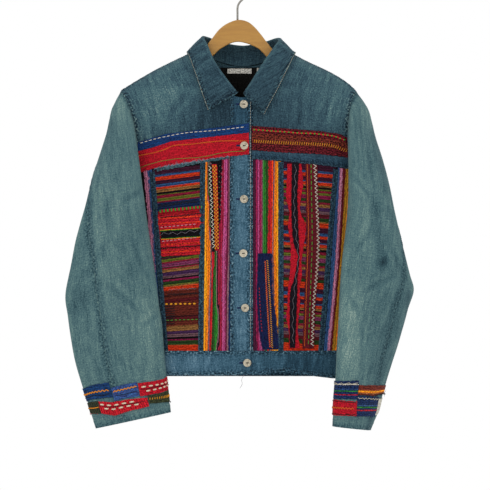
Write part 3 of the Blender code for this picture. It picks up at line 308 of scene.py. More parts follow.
# Pieces laid on a panel: slot, finish, lift, and their edges as (level, across from, across to)
LAID_ON = {
    "patch_red_a": ("woven_red", "patch red", 0.3, (
        (-519, -151, -76), (-500, -151.5, -74.5), (-480, -152.5, -74), (-460, -156.5, -73), (-441, -158, -73),
    )),
    "braid_zigzag_b": ("braid_black", "braid black", 0.3, (
        (-512, -57.5, -51.5), (-430, -61, -54.5), (-352, -64.5, -58),
    )),
    "braid_chevron_b": ("braid_yellow", "braid yellow", 0.3, (
        (-510, -51, -46.5), (-430, -54, -46), (-350, -57.5, -48),
    )),
    "patch_navy_c": ("woven_blue", "patch navy", 0.3, (
        (-693, 36, 66.5), (-668, 31, 64.5), (-634, 28, 61), (-590, 25.5, 54.5), (-545, 27, 54),
        (-515, 27.5, 53.5),
    )),
    "strip_red_d": ("woven_red", "wool red", 0.3, (
        (-691, 85, 105), (-659, 85, 101.5), (-636, 80.5, 102.5), (-607, 82.5, 105.5), (-577, 83.5, 105),
        (-555, 86.5, 109), (-531, 88, 108), (-501, 88, 112.5), (-461, 83.5, 115.5), (-440, 86, 106.5),
        (-416, 80.5, 106.5), (-389, 80.5, 111), (-349, 82.5, 108),
    )),
    "strip_black_d": ("braid_black", "braid black", 1.6, (
        (-690, 86.5, 96.5), (-629, 86.5, 99), (-583, 88, 100.5), (-559, 95.5, 101), (-535, 99.5, 103.5),
        (-520, 101.5, 104), (-498, 94, 103.5), (-472, 91, 102.5), (-440, 89.5, 101.5), (-409, 89.5, 100.5),
        (-348, 90.5, 104),
    )),
    "strip_maroon_d": ("woven_maroon", "wool maroon", 0.3, (
        (-691, 110, 131), (-601, 113.5, 135), (-555, 115.5, 139), (-500, 117, 141), (-416, 116.5, 139.5),
        (-349, 116, 138),
    )),
}

# The red patch hangs aslant: its rise for each mm across from its middle
PATCH_SLOPE = 0.06
PATCH_MIDDLE = -115

# Chest bands: lower and upper edge (across, level) from the armhole to the front edge
BAND_BLUE = (
    ((-196, -326), (-163, -317.5), (-132, -307), (11, -291.4)),
    ((-195, -309), (-144, -294), (-80, -286), (11, -274)),
)
BAND_RED = (
    ((-202, -368), (-163, -357), (-56, -339.5), (11.5, -331)),
    ((-196, -326.3), (-163, -317.8), (-132, -307.3), (11, -291.7)),
)
BAND_MAROON = (
    ((196.5, -337.5), (140, -331), (71, -328), (16.2, -323.8)),
    ((194, -301), (180, -294), (142, -288.5), (16.2, -279)),
)
YOKE_STRAP = (
    ((199, -359), (150, -352), (80, -345), (16.2, -340.5)),
    ((196.5, -337.8), (140, -331.3), (71, -328.3), (16.2, -324.1)),
)
BAND_OVER_PLACKET = 1.1
BAND_LIFT = 0.6

# Where across the right bands step up on to the placket, and over what width
STEP_FROM = -40
STEP_WIDTH = 14

# The frayed strip below the red band: the shares of the band's edge that it keeps to, its drop and its wall
FRAYED_SHARES = (0.2, 0.82)
FRAYED_DROP = 6.0
FRAYED = 0.5

# Lower edge of the waistband, (across, level)
WAISTBAND_EDGE = ((-226, HEM), (-113, -742), (26, -739.5), (78, -734), (120, -741), (170, -747), (226, HEM))
WAISTBAND_LIFT = 1.1

# A place across that lies outside the body, so that a piece which reaches it ends at the side seam
BEYOND_SIDE = 240.0

# The left waistband tucks under the right one: its depth, and where across it starts and over what width
TUCK = 2.8
TUCK_FROM = 29
TUCK_WIDTH = 11

# Collar stations from the right front end round the back to the left front end. Each gives the place on
# the neck seam (across, level, face), the top of the roll and the outer edge (across, depth, level)
COLLAR = (
    ((-15.5, -221, FRONT), (-9.3, -43.5, -218), (-64.4, -41.5, -250.5)),
    ((-26.5, -208, FRONT), (-24, -42.5, -199.5), (-74, -40, -224)),
    ((-44, -190.5, FRONT), (-40, -39.5, -178), (-83, -37, -197)),
    ((-60.5, -168, FRONT), (-57, -32, -152), (-92, -31.5, -171)),
    ((-72, -149, FRONT), (-70, -18, -124.5), (-99, -21.5, -152)),
    ((-76.5, -129.5, BACK), (-76.6, 4, -110.5), (-104, 7, -141)),
    ((-69, -143.5, BACK), (-68, 25, -111.5), (-95, 31, -158)),
    ((-47.5, -156.5, BACK), (-42, 39, -121), (-62, 43, -186)),
    ((0, -166.5, BACK), (0, 43.5, -128), (0, 46.5, -196)),
    ((43.5, -156, BACK), (39, 39, -121), (58, 43, -186)),
    ((61.5, -142.5, BACK), (64, 25, -113.5), (88, 31, -158)),
    ((69, -129.5, BACK), (70.9, 4, -115), (96.5, 7, -144)),
    ((65, -149, FRONT), (63, -18, -127), (90, -21.5, -157)),
    ((55, -168, FRONT), (49, -32, -146.5), (80, -31.5, -178)),
    ((39, -191, FRONT), (32, -39.5, -171.5), (67, -38, -205)),
    ((22, -212, FRONT), (14, -42.5, -199), (52, -41, -233)),
    ((7.5, -220.5, FRONT), (0, -43.5, -219.5), (38.9, -42, -258)),
)
COLLAR_WALL = 2.0
COLLAR_ROLL = 3.5
COLLAR_CROWN = 1.2
LEAF_LIFT = 5.0
STAND_SHARE, ROLL_SHARE = 2 / 9, 6 / 9

# Shares of the collar's rows of points at which its stand, its roll and its leaf end
COLLAR_ROWS = (0, 0.18, 0.4, 1)

# Black facing and bare labels inside the back neck: across from and to, top and bottom level
FACING = (-92, 92, -168.8, -262)
FACING_GAP = 1.3
LABEL_GAP = 0.6
LABELS = {"label_main": (-29, 16, -170.5, -179.5), "label_size": (26, 38, -169.5, -178.5)}
LABEL = 0.6

# Patches round the sleeve ends: (angle, lower height over the hem, upper height) from edge to edge
CUFF_PATCHES = {
    RIGHT: (
        (((-110, 34, 60), (14, 38, 58), (70, 45, 71)), "woven_blue", "cuff navy"),
        (((71, 38, 62), (108, 49, 76)), "woven_blue", "cuff blue"),
        (((109, 48, 74), (176, 66, 92), (249, 66, 90)), "woven_red", "wool red"),
        (((-110, 18, 32), (14, 20, 36), (44, 19, 38), (66, 14, 36), (119, 25, 46)), "woven_red", "cuff ends"),
        (((120, 32, 50), (176, 35, 65), (249, 35, 64)), "braid_black", "cuff olive"),
    ),
    LEFT: (
        (((-110, 66, 84), (45, 68, 83), (80, 63.5, 83), (119.5, 65, 83)), "woven_stripe", "cuff rust"),
        (((120.5, 55.5, 91), (187, 55, 89), (249, 56, 90)), "woven_blue", "cuff lines high"),
        (((-110, 30, 58), (29, 33, 60), (50, 27, 58), (58.5, 26, 58)), "label", "cuff white"),
        (((59.5, 26, 61.5), (80, 25, 62.5), (119.5, 24, 64)), "woven_blue", "cuff lines low"),
        (((120.5, 24, 52), (190, 24, 54), (249, 24, 54)), "woven_red", "wool red"),
    ),
}
PATCH_GAP = 0.4

# Buttons: across, level and height of the seat over the body
BUTTONS = (
    (1.5, -238.7, PLACKET_LIFT),
    (2.2, -315.4, BAND_OVER_PLACKET + TRIM),
    (1.9, -414.4, PLACKET_LIFT),
    (0.6, -514.9, PLACKET_LIFT),
    (3.9, -616.0, PLACKET_LIFT),
    (7.8, -717.8, WAISTBAND_LIFT),
)
BUTTON_SEAT_GAP = 0.35
HOLE_SPACING = 3.2
HOLE_RADIUS = 1.1
BUTTON_PROFILE = (
    (0, 2.1), (3.6, 2.1), (4.6, 2.5), (5.5, 3.3), (6.4, 3.5), (7.2, 3.1), (7.5, 2.3), (7.1, 0.9), (6.4, 0.1),
    (0, 0.0),
)
BUTTONHOLE = (-14.5, -5.5)

# Hanger: top and under edge of the board, (X, level), and its hook
HANGER_THICK = 13.0
HANGER_Y = 3.0
HANGER_ROUNDING = 3.2
HANGER_TOP = (
    (-209, -214.2), (-200, -207.2), (-150, -178.4), (-93, -151.0), (-70, -138.8), (-58, -129), (-46, -114),
    (-34, -99), (-19, -88), (0, -81.4), (17, -84), (30, -93), (44, -109), (57, -126), (70, -138.5),
    (106, -151.5), (150, -173.2), (190, -194.4), (198, -201.4),
)
HANGER_UNDER = (
    (201, -216), (194, -223), (160, -206), (106, -178), (62, -156), (36, -133), (0, -122),
    (-30, -134), (-51, -152), (-93, -175), (-150, -205), (-200, -233), (-208, -227),
)
HOOK_WIRE = 1.9
HOOK_RADIUS = 22.9
HOOK_STEM = ((0, -81.0), (0, -70), (0, -60), (1.5, -53), (5.5, -46.5))
HOOK_FIRST, HOOK_LAST = -56, 196

# The camera's place across and up and the depth of the jacket's front before the hook, in metres, its sensor
# in millimetres, and the fill light's share of the key light
CAMERA_X, CAMERA_Z = 0.0139, -0.4995
FRONT_DEPTH = 0.05
SENSOR = 36.0
FILL_SHARE = 0.3

# A bundle is the width of one weft bundle of the striped cloth
BUNDLE = 1.85

# Yarn colours of the woven cloth, sRGB
YARNS = {
    "black": "#0E0A10",
    "plum": "#43182F",
    "blue": "#2C5687",
    "orange": "#DC3C18",
    "tan": "#9A6A3A",
    "olive": "#6C7426",
    "crimson": "#8E1B36",
    "mauve": "#8A3A62",
    "green": "#27441E",
    "purple": "#4C2C55",
    "grey": "#75555C",
    "magenta": "#8C1D48",
    "navy": "#182B52",
    "rust": "#6A2A20",
    "maroon": "#5C1820",
    "red": "#B01A26",
    "yellow": "#E89A1C",
    "marigold": "#DF7418",
    "leaf": "#2A7428",
    "pink": "#A84878",
    "rose": "#BC7490",
    "wine": "#6C1B3C",
    "mustard": "#A87420",
    "cream": "#EDE3CC",
    "steel blue": "#31507C",
    "olive dark": "#2E3326",
}

# Stripes of the cross-striped cloth, from the top down: yarn and width in bundles
CROSS_STRIPES = {
    "panel_a": (
        ("black", 4), ("plum", 5), ("blue", 2), ("orange", 3.5), ("plum", 4), ("blue", 3), ("orange", 2.5),
        ("tan", 3), ("black", 2), ("olive", 1), ("crimson", 3), ("olive", 2.5), ("crimson", 2), ("navy", 8),
        ("red", 42), ("orange", 2), ("green", 3), ("plum", 2), ("olive", 2.5), ("crimson", 1.5), ("mauve", 4),
        ("green", 1), ("crimson", 1), ("tan", 3), ("purple", 4), ("grey", 2), ("black", 2), ("magenta", 2),
        ("green", 3), ("olive", 1), ("tan", 1), ("orange", 4), ("rust", 5), ("black", 1), ("rust", 3),
        ("maroon", 3), ("rust", 14), ("black", 1), ("maroon", 4), ("rust", 5), ("tan", 5), ("purple", 3),
        ("grey", 3), ("black", 2.5), ("magenta", 1.5), ("green", 3.5), ("tan", 1), ("orange", 10),
    ),
    "panel_d": (
        ("plum", 8), ("blue", 2.5), ("orange", 3.5), ("plum", 4), ("blue", 1.5), ("orange", 2.5), ("tan", 2),
        ("black", 2.5), ("olive", 1.5), ("crimson", 2), ("olive", 2), ("magenta", 4), ("green", 3),
        ("crimson", 2), ("tan", 3.5), ("purple", 3.5), ("grey", 3), ("maroon", 3), ("magenta", 1),
        ("green", 4), ("tan", 1.5), ("orange", 4), ("plum", 5.5), ("blue", 3), ("orange", 3), ("plum", 4),
        ("blue", 1.5), ("orange", 3.5), ("tan", 1.5), ("black", 2.5), ("crimson", 3), ("olive", 3),
        ("mauve", 5), ("green", 3), ("crimson", 2), ("tan", 3), ("purple", 4), ("grey", 2), ("maroon", 3),
        ("green", 3), ("orange", 6), ("plum", 5), ("blue", 3.5), ("orange", 3), ("plum", 3.5), ("blue", 2),
        ("orange", 3), ("tan", 2), ("black", 2), ("crimson", 2), ("olive", 2), ("mauve", 4), ("green", 4),
        ("crimson", 2), ("tan", 3), ("purple", 4), ("grey", 3), ("maroon", 4), ("green", 4), ("orange", 12),
    ),
}
CROSS_TOP = -348.0

# Added to a chart's places to keep them above zero
CHART_SHIFT = 250
CHART_RISE = 800

# Slope of the cross stripes (rise for each mm across): level, slope, and the across where they are level
CROSS_SLOPE = {
    "panel_a": (((-699, 0.0), (-655, 0.065), (-574, 0.11), (-518, 0.14), (-351, 0.12)), -122),
    "panel_d": (((-699, -0.08), (-351, -0.08)), 150),
}

# Stripes down the other panels: yarns from left to right, and where each begins, at a few levels
LONG_STRIPES = {
    "panel_b": (
        ("yellow", "marigold", "grey", "red", "green", "leaf", "grey", "black", "crimson", "pink", "wine",
         "grey", "navy"),
        (
            (-694, -75, -71, -65, -63, -59.5, -54, -49, -48, -47, -39, -34, -28.5, -27.5, -22),
            (-657, -74, -69, -64, -62.5, -57.5, -53.5, -46, -45, -44.5, -39, -33, -28.5, -27.5, -22),
            (-564, -71, -67, -61, -59.5, -55.5, -53, -50, -49.5, -49, -39, -32.5, -28, -27, -22),
            (-509, -73, -68.5, -60, -59, -52.5, -51.5, -50, -49.5, -48.5, -39, -31.5, -27, -25.5, -22),
            (-462, -73, -68.5, -62, -61.5, -61, -61, -60.5, -60.5, -43, -36, -30, -26, -25, -22),
            (-351, -75, -69, -65, -64.5, -64, -64, -63.5, -63.5, -37.5, -36.5, -28, -26, -25, -22),
        ),
    ),
    "panel_c": (
        ("plum", "magenta", "pink", "magenta", "grey", "leaf", "green", "red", "orange", "grey", "marigold",
         "yellow"),
        (
            (-694, 17, 27, 30, 36, 40, 41, 43, 44, 46, 48, 50, 54, 75),
            (-633, 17, 24, 28, 32, 35, 36, 40, 43, 50, 53, 57, 63, 75),
            (-509, 17, 24.5, 27.5, 29.5, 35.5, 36.5, 43, 45, 52, 54, 56, 60.5, 75),
            (-351, 17, 24, 27.5, 30, 35.5, 36.5, 41.5, 47, 53, 56.5, 58, 62, 75),
        ),
    ),
    "panel_e": (
        ("black", "steel blue", "rose", "maroon", "mustard", "marigold"),
        (
            (-694, 144, 150, 156, 161, 165, 170, 210),
            (-527, 157, 164, 171, 176.5, 180, 186, 215),
            (-351, 172, 176, 180, 185.5, 191.5, 198, 215),
        ),
    ),
    "strip_side_right": (
        ("black", "rose", "steel blue"),
        (
            (-694, -168, -163, -156, -140),
            (-509, -182, -172, -166, -150),
            (-351, -194, -184.5, -178.5, -160),
        ),
    ),
}

# Lines stitched on the fronts, (across, level)
RUN_WHITE = ((-191, -311), (-163, -303), (-135, -297), (-107, -292), (-48, -287), (9, -280))
RUN_ORANGE = ((-200, -335), (-163, -328), (-144, -322), (-130, -316), (-98, -313), (-41, -307), (9, -307))
RUN_GREEN = ((-197, -358), (-159, -346), (-124, -340), (-79, -337), (-33, -328), (6, -325))
DOTS_MAROON = ((19, -286), (63, -289), (102, -292), (140, -294), (168, -298), (185, -304), (192, -306))
LADDER_MAROON = ((19, -307), (71, -310), (140, -313), (168, -316), (183, -322), (194, -325))
ZIGZAG_D = ((133, -350), (136, -409), (139, -500), (136, -555), (131, -601), (128, -688))
LINE_D = ((119, -350), (120, -416), (121, -472), (118, -564), (114, -688))
DOTS_D = ((126, -350), (127, -416), (128, -490), (125, -583), (121, -688))
WAVE_D = ((97, -350), (95, -416), (97, -472), (103, -528), (98, -559), (94, -590), (92, -688))
ZIGZAG_B = ((-61.5, -353), (-58, -430), (-54.5, -509))
CHEVRON_B = ((-53, -352), (-50, -430), (-48.7, -508))
CHAIN_C = ((45, -527), (50, -601), (54, -690))
CHAIN_C_INNER = ((41, -529), (44.5, -601), (50, -690))
DOTS_C = ((30, -579), (32, -620), (35, -660))

# A sheet narrower than this many metres is gathered with the sheet below it, which gathers so many at most
NARROW = 0.0105
MOST_CARRIED = 24

EDGES = ("left", "right", "bottom", "top")
PIECES = {}
STITCHED = []
PALE_STITCHED = []
ON_PIECES = {}


# The form of the garment


def hermite(start, leaving_it, end, arriving, t):
    """Points of a curve between two ends, by the ways in which it leaves and arrives."""
    return (
        (2 * t**3 - 3 * t**2 + 1) * start
        + (t**3 - 2 * t**2 + t) * leaving_it
        + (3 * t**2 - 2 * t**3) * end
        + (t**3 - t**2) * arriving
    )


def smooth(knots, values, at):
    """A smooth curve through rows of values at the rising knots, read at many places."""
    knots, values = np.asarray(knots, float), np.asarray(values, float)
    at = np.clip(at, knots[0], knots[-1])
    k = np.clip(np.searchsorted(knots, at, side="right") - 1, 0, len(knots) - 2)
    step = np.diff(knots)
    rise = np.diff(values, axis=0) / step[:, None]
    slopes = np.concatenate([rise[:1], (rise[:-1] + rise[1:]) / 2, rise[-1:]])
    t = ((at - knots[k]) / step[k])[..., None]
    span = step[k][..., None]
    return hermite(values[k], span * slopes[k], values[k + 1], span * slopes[k + 1], t)


def through(points, count):
    """A smooth line of that many points through a few points."""
    numbers = np.arange(len(points))
    return smooth(numbers, points, np.linspace(0, numbers[-1], count))


def listed(points, share):
    """Places at shares of a line through points, each point as far from the next."""
    points = np.asarray(points, float)
    place = np.clip(share, 0.0, 1.0) * (len(points) - 1)
    k = np.minimum((place + 1e-6).astype(int), len(points) - 2)
    part = (place - k)[..., None]
    return points[k] * (1 - part) + points[k + 1] * part


def ease(value):
    """A soft step from 0 to 1."""
    value = np.clip(value, 0.0, 1.0)
    return value * value * (3 - 2 * value)


def uneven(place, wave, sway, drift):
    """A wave along a line, its length always changing a little."""
    return np.sin(place / wave + sway * np.sin(place / drift))


def unit(vectors):
    """Vectors scaled to length one."""
    return vectors / np.maximum(np.linalg.norm(vectors, axis=-1, keepdims=True), 1e-9)


def joined(*parts):
    """Numbers side by side, in the last axis of one array."""
    return np.stack(np.broadcast_arrays(*parts), axis=-1)


def seen(points):
    """Where points are seen from the front: across and level."""
    return points[..., 0] - CENTRE_X, points[..., 2]


def bell(beside, along=0.0):
    """One in the middle of a soft spot, falling to nothing around it."""
    return np.exp(-(beside**2) - along**2)


def wrapped(angle):
    """Angles from -180 to 180 degrees."""
    return (angle + 180) % 360 - 180


def round_ring(points, angle):
    """Points of the smooth rings through four guiding points each: outer or top, front, under, back."""
    outer, front, under, back = (points[..., k, :] for k in range(4))
    a = np.radians(angle)[..., None]
    return (
        (outer + front + under + back) / 4
        + (outer - under) / 2 * np.cos(a)
        + (front - back) / 2 * np.sin(a)
        + (outer + under - front - back) / 4 * np.cos(2 * a)
    )


def body_size(level):
    """Half-widths on both sides, depths before and behind, and the middle, at levels."""
    rows = np.array(BODY[::-1], float)
    return smooth(rows[:, 0], rows[:, 1:], level)


def furrow(along, beside):
    """A soft trough between two low ridges: -1 in its middle, from places along and beside it."""
    return -(1 - RIDGE_HEIGHT * beside**2) * bell(beside, along)


def body_relief(across, level, face):
    """How far folds and creases lift the cloth at points of the body."""
    lift = np.zeros(across.shape)
    for fold_face, middle, top, bottom, lean, half, depth in BODY_FOLDS:
        share = np.clip((top - level) / (top - bottom), 0.0, 1.0)
        fold = depth * bell((across - middle - lean * (top - level)) / half)
        fold = fold * np.sin(math.pi * share) ** 2
        lift -= np.where(face == fold_face, fold, 0.0)
    for crease_face, middle, height, long, half, lean, depth in BODY_CREASES:
        a = math.radians(lean)
        right, down = across - middle, height - level
        along = (down * math.cos(a) + right * math.sin(a)) / long
        beside = (right * math.cos(a) - down * math.sin(a) + CREASE_SWAY * np.sin(along * 2)) / half
        lift += np.where(face == crease_face, depth * furrow(along, beside), 0.0)
    return lift


def turn_of(across, level, face=FRONT):
    """Where points of the front or the back lie round the body."""
    across, level = np.asarray(across, float), np.asarray(level, float)
    sizes = body_size(level)
    half = np.where(across < 0, sizes[..., 0], sizes[..., 1])
    turn = np.arcsin(np.clip(across / half, -1.0, 1.0)) * 2 / math.pi
    return np.where(np.asarray(face) == FRONT, turn, np.where(turn < 0, -2.0, 2.0) - turn)


def body_at(turn, level):
    """Points of the body's outer face, without its folds."""
    sizes = body_size(level)
    swing = np.sin(math.pi / 2 * turn)
    reach = np.sqrt(np.maximum(0.0, 1 - np.abs(swing) ** ROUNDNESS))
    depth = sizes[..., 4] + np.where(np.abs(turn) > 1, sizes[..., 3], -sizes[..., 2]) * reach
    half = np.where(turn < 0, sizes[..., 0], sizes[..., 1])
    return joined(swing * half, depth, level)


def body_point(turn, level, lift=0.0):
    """Points at heights over the body's outer face, folds and creases included."""
    turn, level = np.broadcast_arrays(np.asarray(turn, float), np.asarray(level, float))
    here = body_at(turn, level)
    round_it = body_at(turn + 0.01, level) - body_at(turn - 0.01, level)
    up = body_at(turn, level + 1) - body_at(turn, level - 1)
    normal = unit(np.cross(round_it, up))
    calm = np.minimum(1.0, 3 * np.abs(np.cos(math.pi / 2 * turn)))
    face = np.where(np.abs(turn) > 1, BACK, FRONT)
    height = lift + calm * body_relief(here[..., 0], level, face)
    return here + normal * height[..., None] + TO_CENTRE


def front_point(across, level, lift=0.0):
    """Points at heights over the front, from across and level."""
    return body_point(turn_of(across, level), np.asarray(level, float), lift)


def armhole_at(side, angle):
    """Points (across, level) of the armhole's curve, seen from the front."""
    return round_ring(np.array(ARMHOLES[side], float), angle)


def armhole(side, angle):
    """Places on the armhole, which is cut in straight steps from one of its points to the next."""
    angle = np.asarray(angle, float)
    first = np.floor(angle / ARMHOLE_STEP + 1e-6) * ARMHOLE_STEP
    share = ((angle - first) / ARMHOLE_STEP)[..., None]
    point = armhole_at(side, first) * (1 - share) + armhole_at(side, first + ARMHOLE_STEP) * share
    face = np.where(np.sin(np.radians(angle)) >= -1e-9, FRONT, BACK)
    return joined(turn_of(point[..., 0], point[..., 1], face), point[..., 1])


def ring_points(side):
    """The four guiding points of each ring of the sleeve below its head."""
    rings = []
    for (out_x, out_z, in_x, in_z, middle_y, thin, turned), drop in zip(SLEEVE_TUBES[side], BACK_DROP):
        turned = math.radians(turned)
        half = abs(out_x - in_x) / 2
        wide = math.sqrt(half**2 - (thin * math.sin(turned)) ** 2) / math.cos(turned)
        slope = (out_z - in_z) / (2 * half)
        ring = []
        for angle in (0, 90, 180, 270):
            long, short = wide * math.cos(math.radians(angle)), thin * math.sin(math.radians(angle))
            across = long * math.cos(turned) + short * math.sin(turned)
            depth = long * math.sin(turned) - short * math.cos(turned)
            middle = ((out_x + in_x) / 2, middle_y, (out_z + in_z) / 2)
            lower = slope * across - drop * depth / thin
            ring.append((middle[0] + side * across, middle[1] + depth, middle[2] + lower))
        rings.append(ring)
    return np.array(rings)


RINGS = {side: ring_points(side) for side in (RIGHT, LEFT)}
LAST_RING = HEAD_RINGS + len(RINGS[RIGHT]) - 1


def tube_at(side, angle, ring):
    """Points of the sleeve's outer face below its head, without its folds."""
    numbers = np.arange(HEAD_RINGS, LAST_RING + 1)
    guides = smooth(numbers, RINGS[side].reshape(len(numbers), -1), ring)
    return round_ring(guides.reshape(*guides.shape[:-1], 4, 3), angle) + TO_CENTRE


def leaving(side, angle):
    """The way in which the sleeve's cloth leaves the armhole."""
    return round_ring(np.array(SLEEVE_LEAVING[side], float), angle)


def sleeve_starts(side):
    """The sleeve's edge at each step of the armhole, a gap inside it, and the way to the cloth's inside."""
    angle = np.arange(0, 360 + ARMHOLE_STEP, ARMHOLE_STEP, dtype=float)

    def point(angles, lift=0.0):
        return body_point(*np.moveaxis(armhole(side, angles), -1, 0), lift)

    here = point(angle)
    round_it = unit(point(angle + ARMHOLE_STEP) - point(angle - ARMHOLE_STEP))
    inward = unit(point(angle, -1.0) - here)
    ahead = np.cross(inward, round_it)
    opposite = point((angle + 360) % 360 - 180) - here
    ahead *= np.sign((ahead * opposite).sum(axis=-1, keepdims=True))
    cloth_inward = unit(np.cross(leaving(side, angle), round_it)) * side
    return here + ahead * SEAM_GAP, unit(inward + cloth_inward)


STARTS = {side: sleeve_starts(side) for side in (RIGHT, LEFT)}


def stepped(side, angle, which):
    """The sleeve's start points, or their inward ways, straight between the armhole's points."""
    return listed(STARTS[side][which], (angle % 360) / 360)


def sleeve_at(side, angle, ring):
    """Points of the sleeve's outer face, without its folds."""
    t = np.minimum(ring / HEAD_RINGS, 1.0)[..., None]
    start = angle - HEAD_TURN * t[..., 0]
    last = np.full(ring.shape, float(HEAD_RINGS))
    end = start + HEAD_TURN
    arriving = (tube_at(side, end, last + 1) - tube_at(side, end, last)) * HEAD_PULL
    head = hermite(stepped(side, start, 0), leaving(side, start), tube_at(side, end, last), arriving, t)
    return np.where((ring < HEAD_RINGS)[..., None], head, tube_at(side, angle, ring))


def sleeve_relief(side, angle, ring):
    """How far folds and creases lift the sleeve's cloth at points."""
    lift = np.zeros(ring.shape)
    for fold_ring, middle, reach, spread, slant, depth in SLEEVE_FOLDS[side]:
        along = (ring - fold_ring) / reach
        lift -= depth * bell((wrapped(angle - middle) - slant * along) / spread, along)
    for fold_ring, middle, reach, spread, slant, depth in SLEEVE_CREASES:
        along = (ring - fold_ring) / reach
        sway = side * SLEEVE_SWAY * np.sin(along * 2)
        lift += depth * furrow(along, (wrapped(angle - middle) - slant * along - sway) / spread)
    return lift


def sleeve_point(side, angle, ring, lift=0.0):
    """Points at heights over the sleeve's outer face, folds and creases included."""
    angle, ring = np.broadcast_arrays(np.asarray(angle, float), np.asarray(ring, float))
    low, high = np.maximum(ring - 0.05, 0.0), np.minimum(ring + 0.05, LAST_RING)
    down = sleeve_at(side, angle, high) - sleeve_at(side, angle, low)
    round_it = sleeve_at(side, angle + 2, ring) - sleeve_at(side, angle - 2, ring)
    normal = unit(np.cross(down, round_it)) * -side
    puff_ring, puff_reach, puff_angle, puff_spread = PUFF_PLACE
    puff = bell(wrapped(angle - puff_angle) / puff_spread, (ring - puff_ring) / puff_reach)
    calm = np.minimum(1.0, ring / CALM_RINGS)
    height = lift + sleeve_relief(side, angle, ring) * calm + HEAD_PUFF[side] * puff
    start = stepped(side, angle, 0) - stepped(side, angle, 1) * height[..., None]
    point = sleeve_at(side, angle, ring) + normal * height[..., None]
    blend = ease(ring / START_RINGS)[..., None]
    return start * (1 - blend) + point * blend


def seam_angle(side, which, ring, shift=0.0):
    """The angles at which a seam of the sleeve runs, moved round by a shift in millimetres."""
    rows = np.array(SLEEVE_SEAMS[side][which], float)
    angle = smooth(rows[:, 0], rows[:, 1:], ring)[..., 0]
    speed = np.linalg.norm(sleeve_at(side, angle + 1, ring) - sleeve_at(side, angle - 1, ring), axis=-1) / 2
    return angle + shift / speed


# Sheets of cloth

# Laps slope down over this width, and the puckers of a seam have this length and reach, in millimetres
LAP_SLOPE = 2.5
PUCKER = 2.3
PUCKER_REACH = 9.0

# A first look at a sheet takes so many rows, to find how many it needs
ROUGH_CELLS = 13
RUMPLE_SIZE, RUMPLE_DEPTH = 38.0, 0.35
SEAM_REACH = 50.0

# Ridges of the cloth are painted paler, as worn denim is, and its hollows darker as painted shade: their
# size, how much for each mm, at most, and not so near its edges
RIDGE_SIZE = 13
RIDGE_WEAR_AND_SHADE, RIDGE_MOST, RIDGE_EDGE = 0.14, 0.07, 16.0


def on_body(place, face=FRONT, base=0.0):
    """Points for a piece whose places (turn, level) are given, kept on its side of the fold lines."""

    def at(s, t, lift):
        found = place(s, t)
        turn, level = found[..., 0], found[..., 1]
        if face == FRONT:
            turn = np.clip(turn, -1 + FOLD_LINE, 1 - FOLD_LINE)
        else:
            turn = np.copysign(np.maximum(np.abs(turn), 1 + FOLD_LINE), turn)
        height = base(body_at(turn, level)[..., 0]) if callable(base) else base
        return body_point(turn, level, lift + height)

    return at


def patch(bottom, top, left, right):
    """The places inside four edges, for shares across and up them."""

    def at(s, t):
        zero, one = np.zeros(s.shape), np.ones(s.shape)
        s1, t1 = s[..., None], t[..., None]
        corners = (
            (1 - s1) * (1 - t1) * bottom(zero)
            + s1 * (1 - t1) * bottom(one)
            + (1 - s1) * t1 * top(zero)
            + s1 * t1 * top(one)
        )
        return (1 - t1) * bottom(s) + t1 * top(s) + (1 - s1) * left(t) + s1 * right(t) - corners

    return at


def margins_of(points):
    """Distances of a piece's points from its four edges, along its rows and columns."""
    across = np.linalg.norm(np.diff(points, axis=1), axis=-1)
    up = np.linalg.norm(np.diff(points, axis=0), axis=-1)
    left = np.concatenate([np.zeros((len(points), 1)), np.cumsum(across, axis=1)], axis=1)
    bottom = np.concatenate([np.zeros((1, points.shape[1])), np.cumsum(up, axis=0)], axis=0)
    return {"left": left, "right": left[:, -1:] - left, "bottom": bottom, "top": bottom[-1:] - bottom}


def seam_relief(margins, laps):
    """Raised laps along sewn edges, (width, height, pucker) each, and the puckers of their stitching."""
    lift = np.zeros(margins["left"].shape)
    for edge, (width, height, pucker) in laps.items():
        away = margins[edge]
        along = margins["bottom" if edge in ("left", "right") else "left"]
        waves = uneven(along, PUCKER, 2.2, 31.0) * (0.6 + 0.4 * np.sin(along / 17.0))
        lift += height * (1 - ease((away - width) / LAP_SLOPE))
        lift += pucker * waves * bell(away / PUCKER_REACH)
    return lift


def stand_out(points, out, reach):
    """How far points stand out from the mean of those round them: positive on ridges."""
    mean = points
    for axis in (0, 1):
        near = min(reach, points.shape[axis] - 1)
        pad = [(near, near) if k == axis else (0, 0) for k in range(3)]
        wide = np.pad(mean, pad, "edge")
        run = np.cumsum(np.concatenate([0 * np.take(wide, [0], axis), wide], axis), axis)
        count = points.shape[axis]
        first = np.take(run, np.arange(count), axis)
        mean = (np.take(run, np.arange(count) + 2 * near + 1, axis) - first) / (2 * near + 1)
    return ((points - mean) * out).sum(axis=-1)


def rumple(points):
    """Small unevenness of the cloth, the same each time."""
    flat = points.reshape(-1, 3) / RUMPLE_SIZE
    values = [noise.noise(Vector(point)) for point in flat]
    return RUMPLE_DEPTH * np.array(values).reshape(points.shape[:-1])


def mesh_data(name, mesh, finish_name=None):
    """What bmesh has built as the data of an object, in its finish."""
    data = bpy.data.meshes.new(name)
    mesh.to_mesh(data)
    mesh.free()
    if finish_name:
        data.materials.append(finish(finish_name))
    return data


def round_off(data, sharp=180):
    """Smooth shading, with the edges kept sharp that turn by more than an angle."""
    data.shade_smooth()
    if sharp < 180:
        data.set_sharp_from_angle(angle=math.radians(sharp))


def linked(name, data):
    """An object of that data in the scene."""
    thing = bpy.data.objects.new(name, data)
    bpy.context.collection.objects.link(thing)
    return thing


def hand_over(piece, slot, node=None):
    """Hang a piece with the jacket and hide the solid that it stands for. The slot is not used."""
    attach(piece, "root")
    if node:
        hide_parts(node)


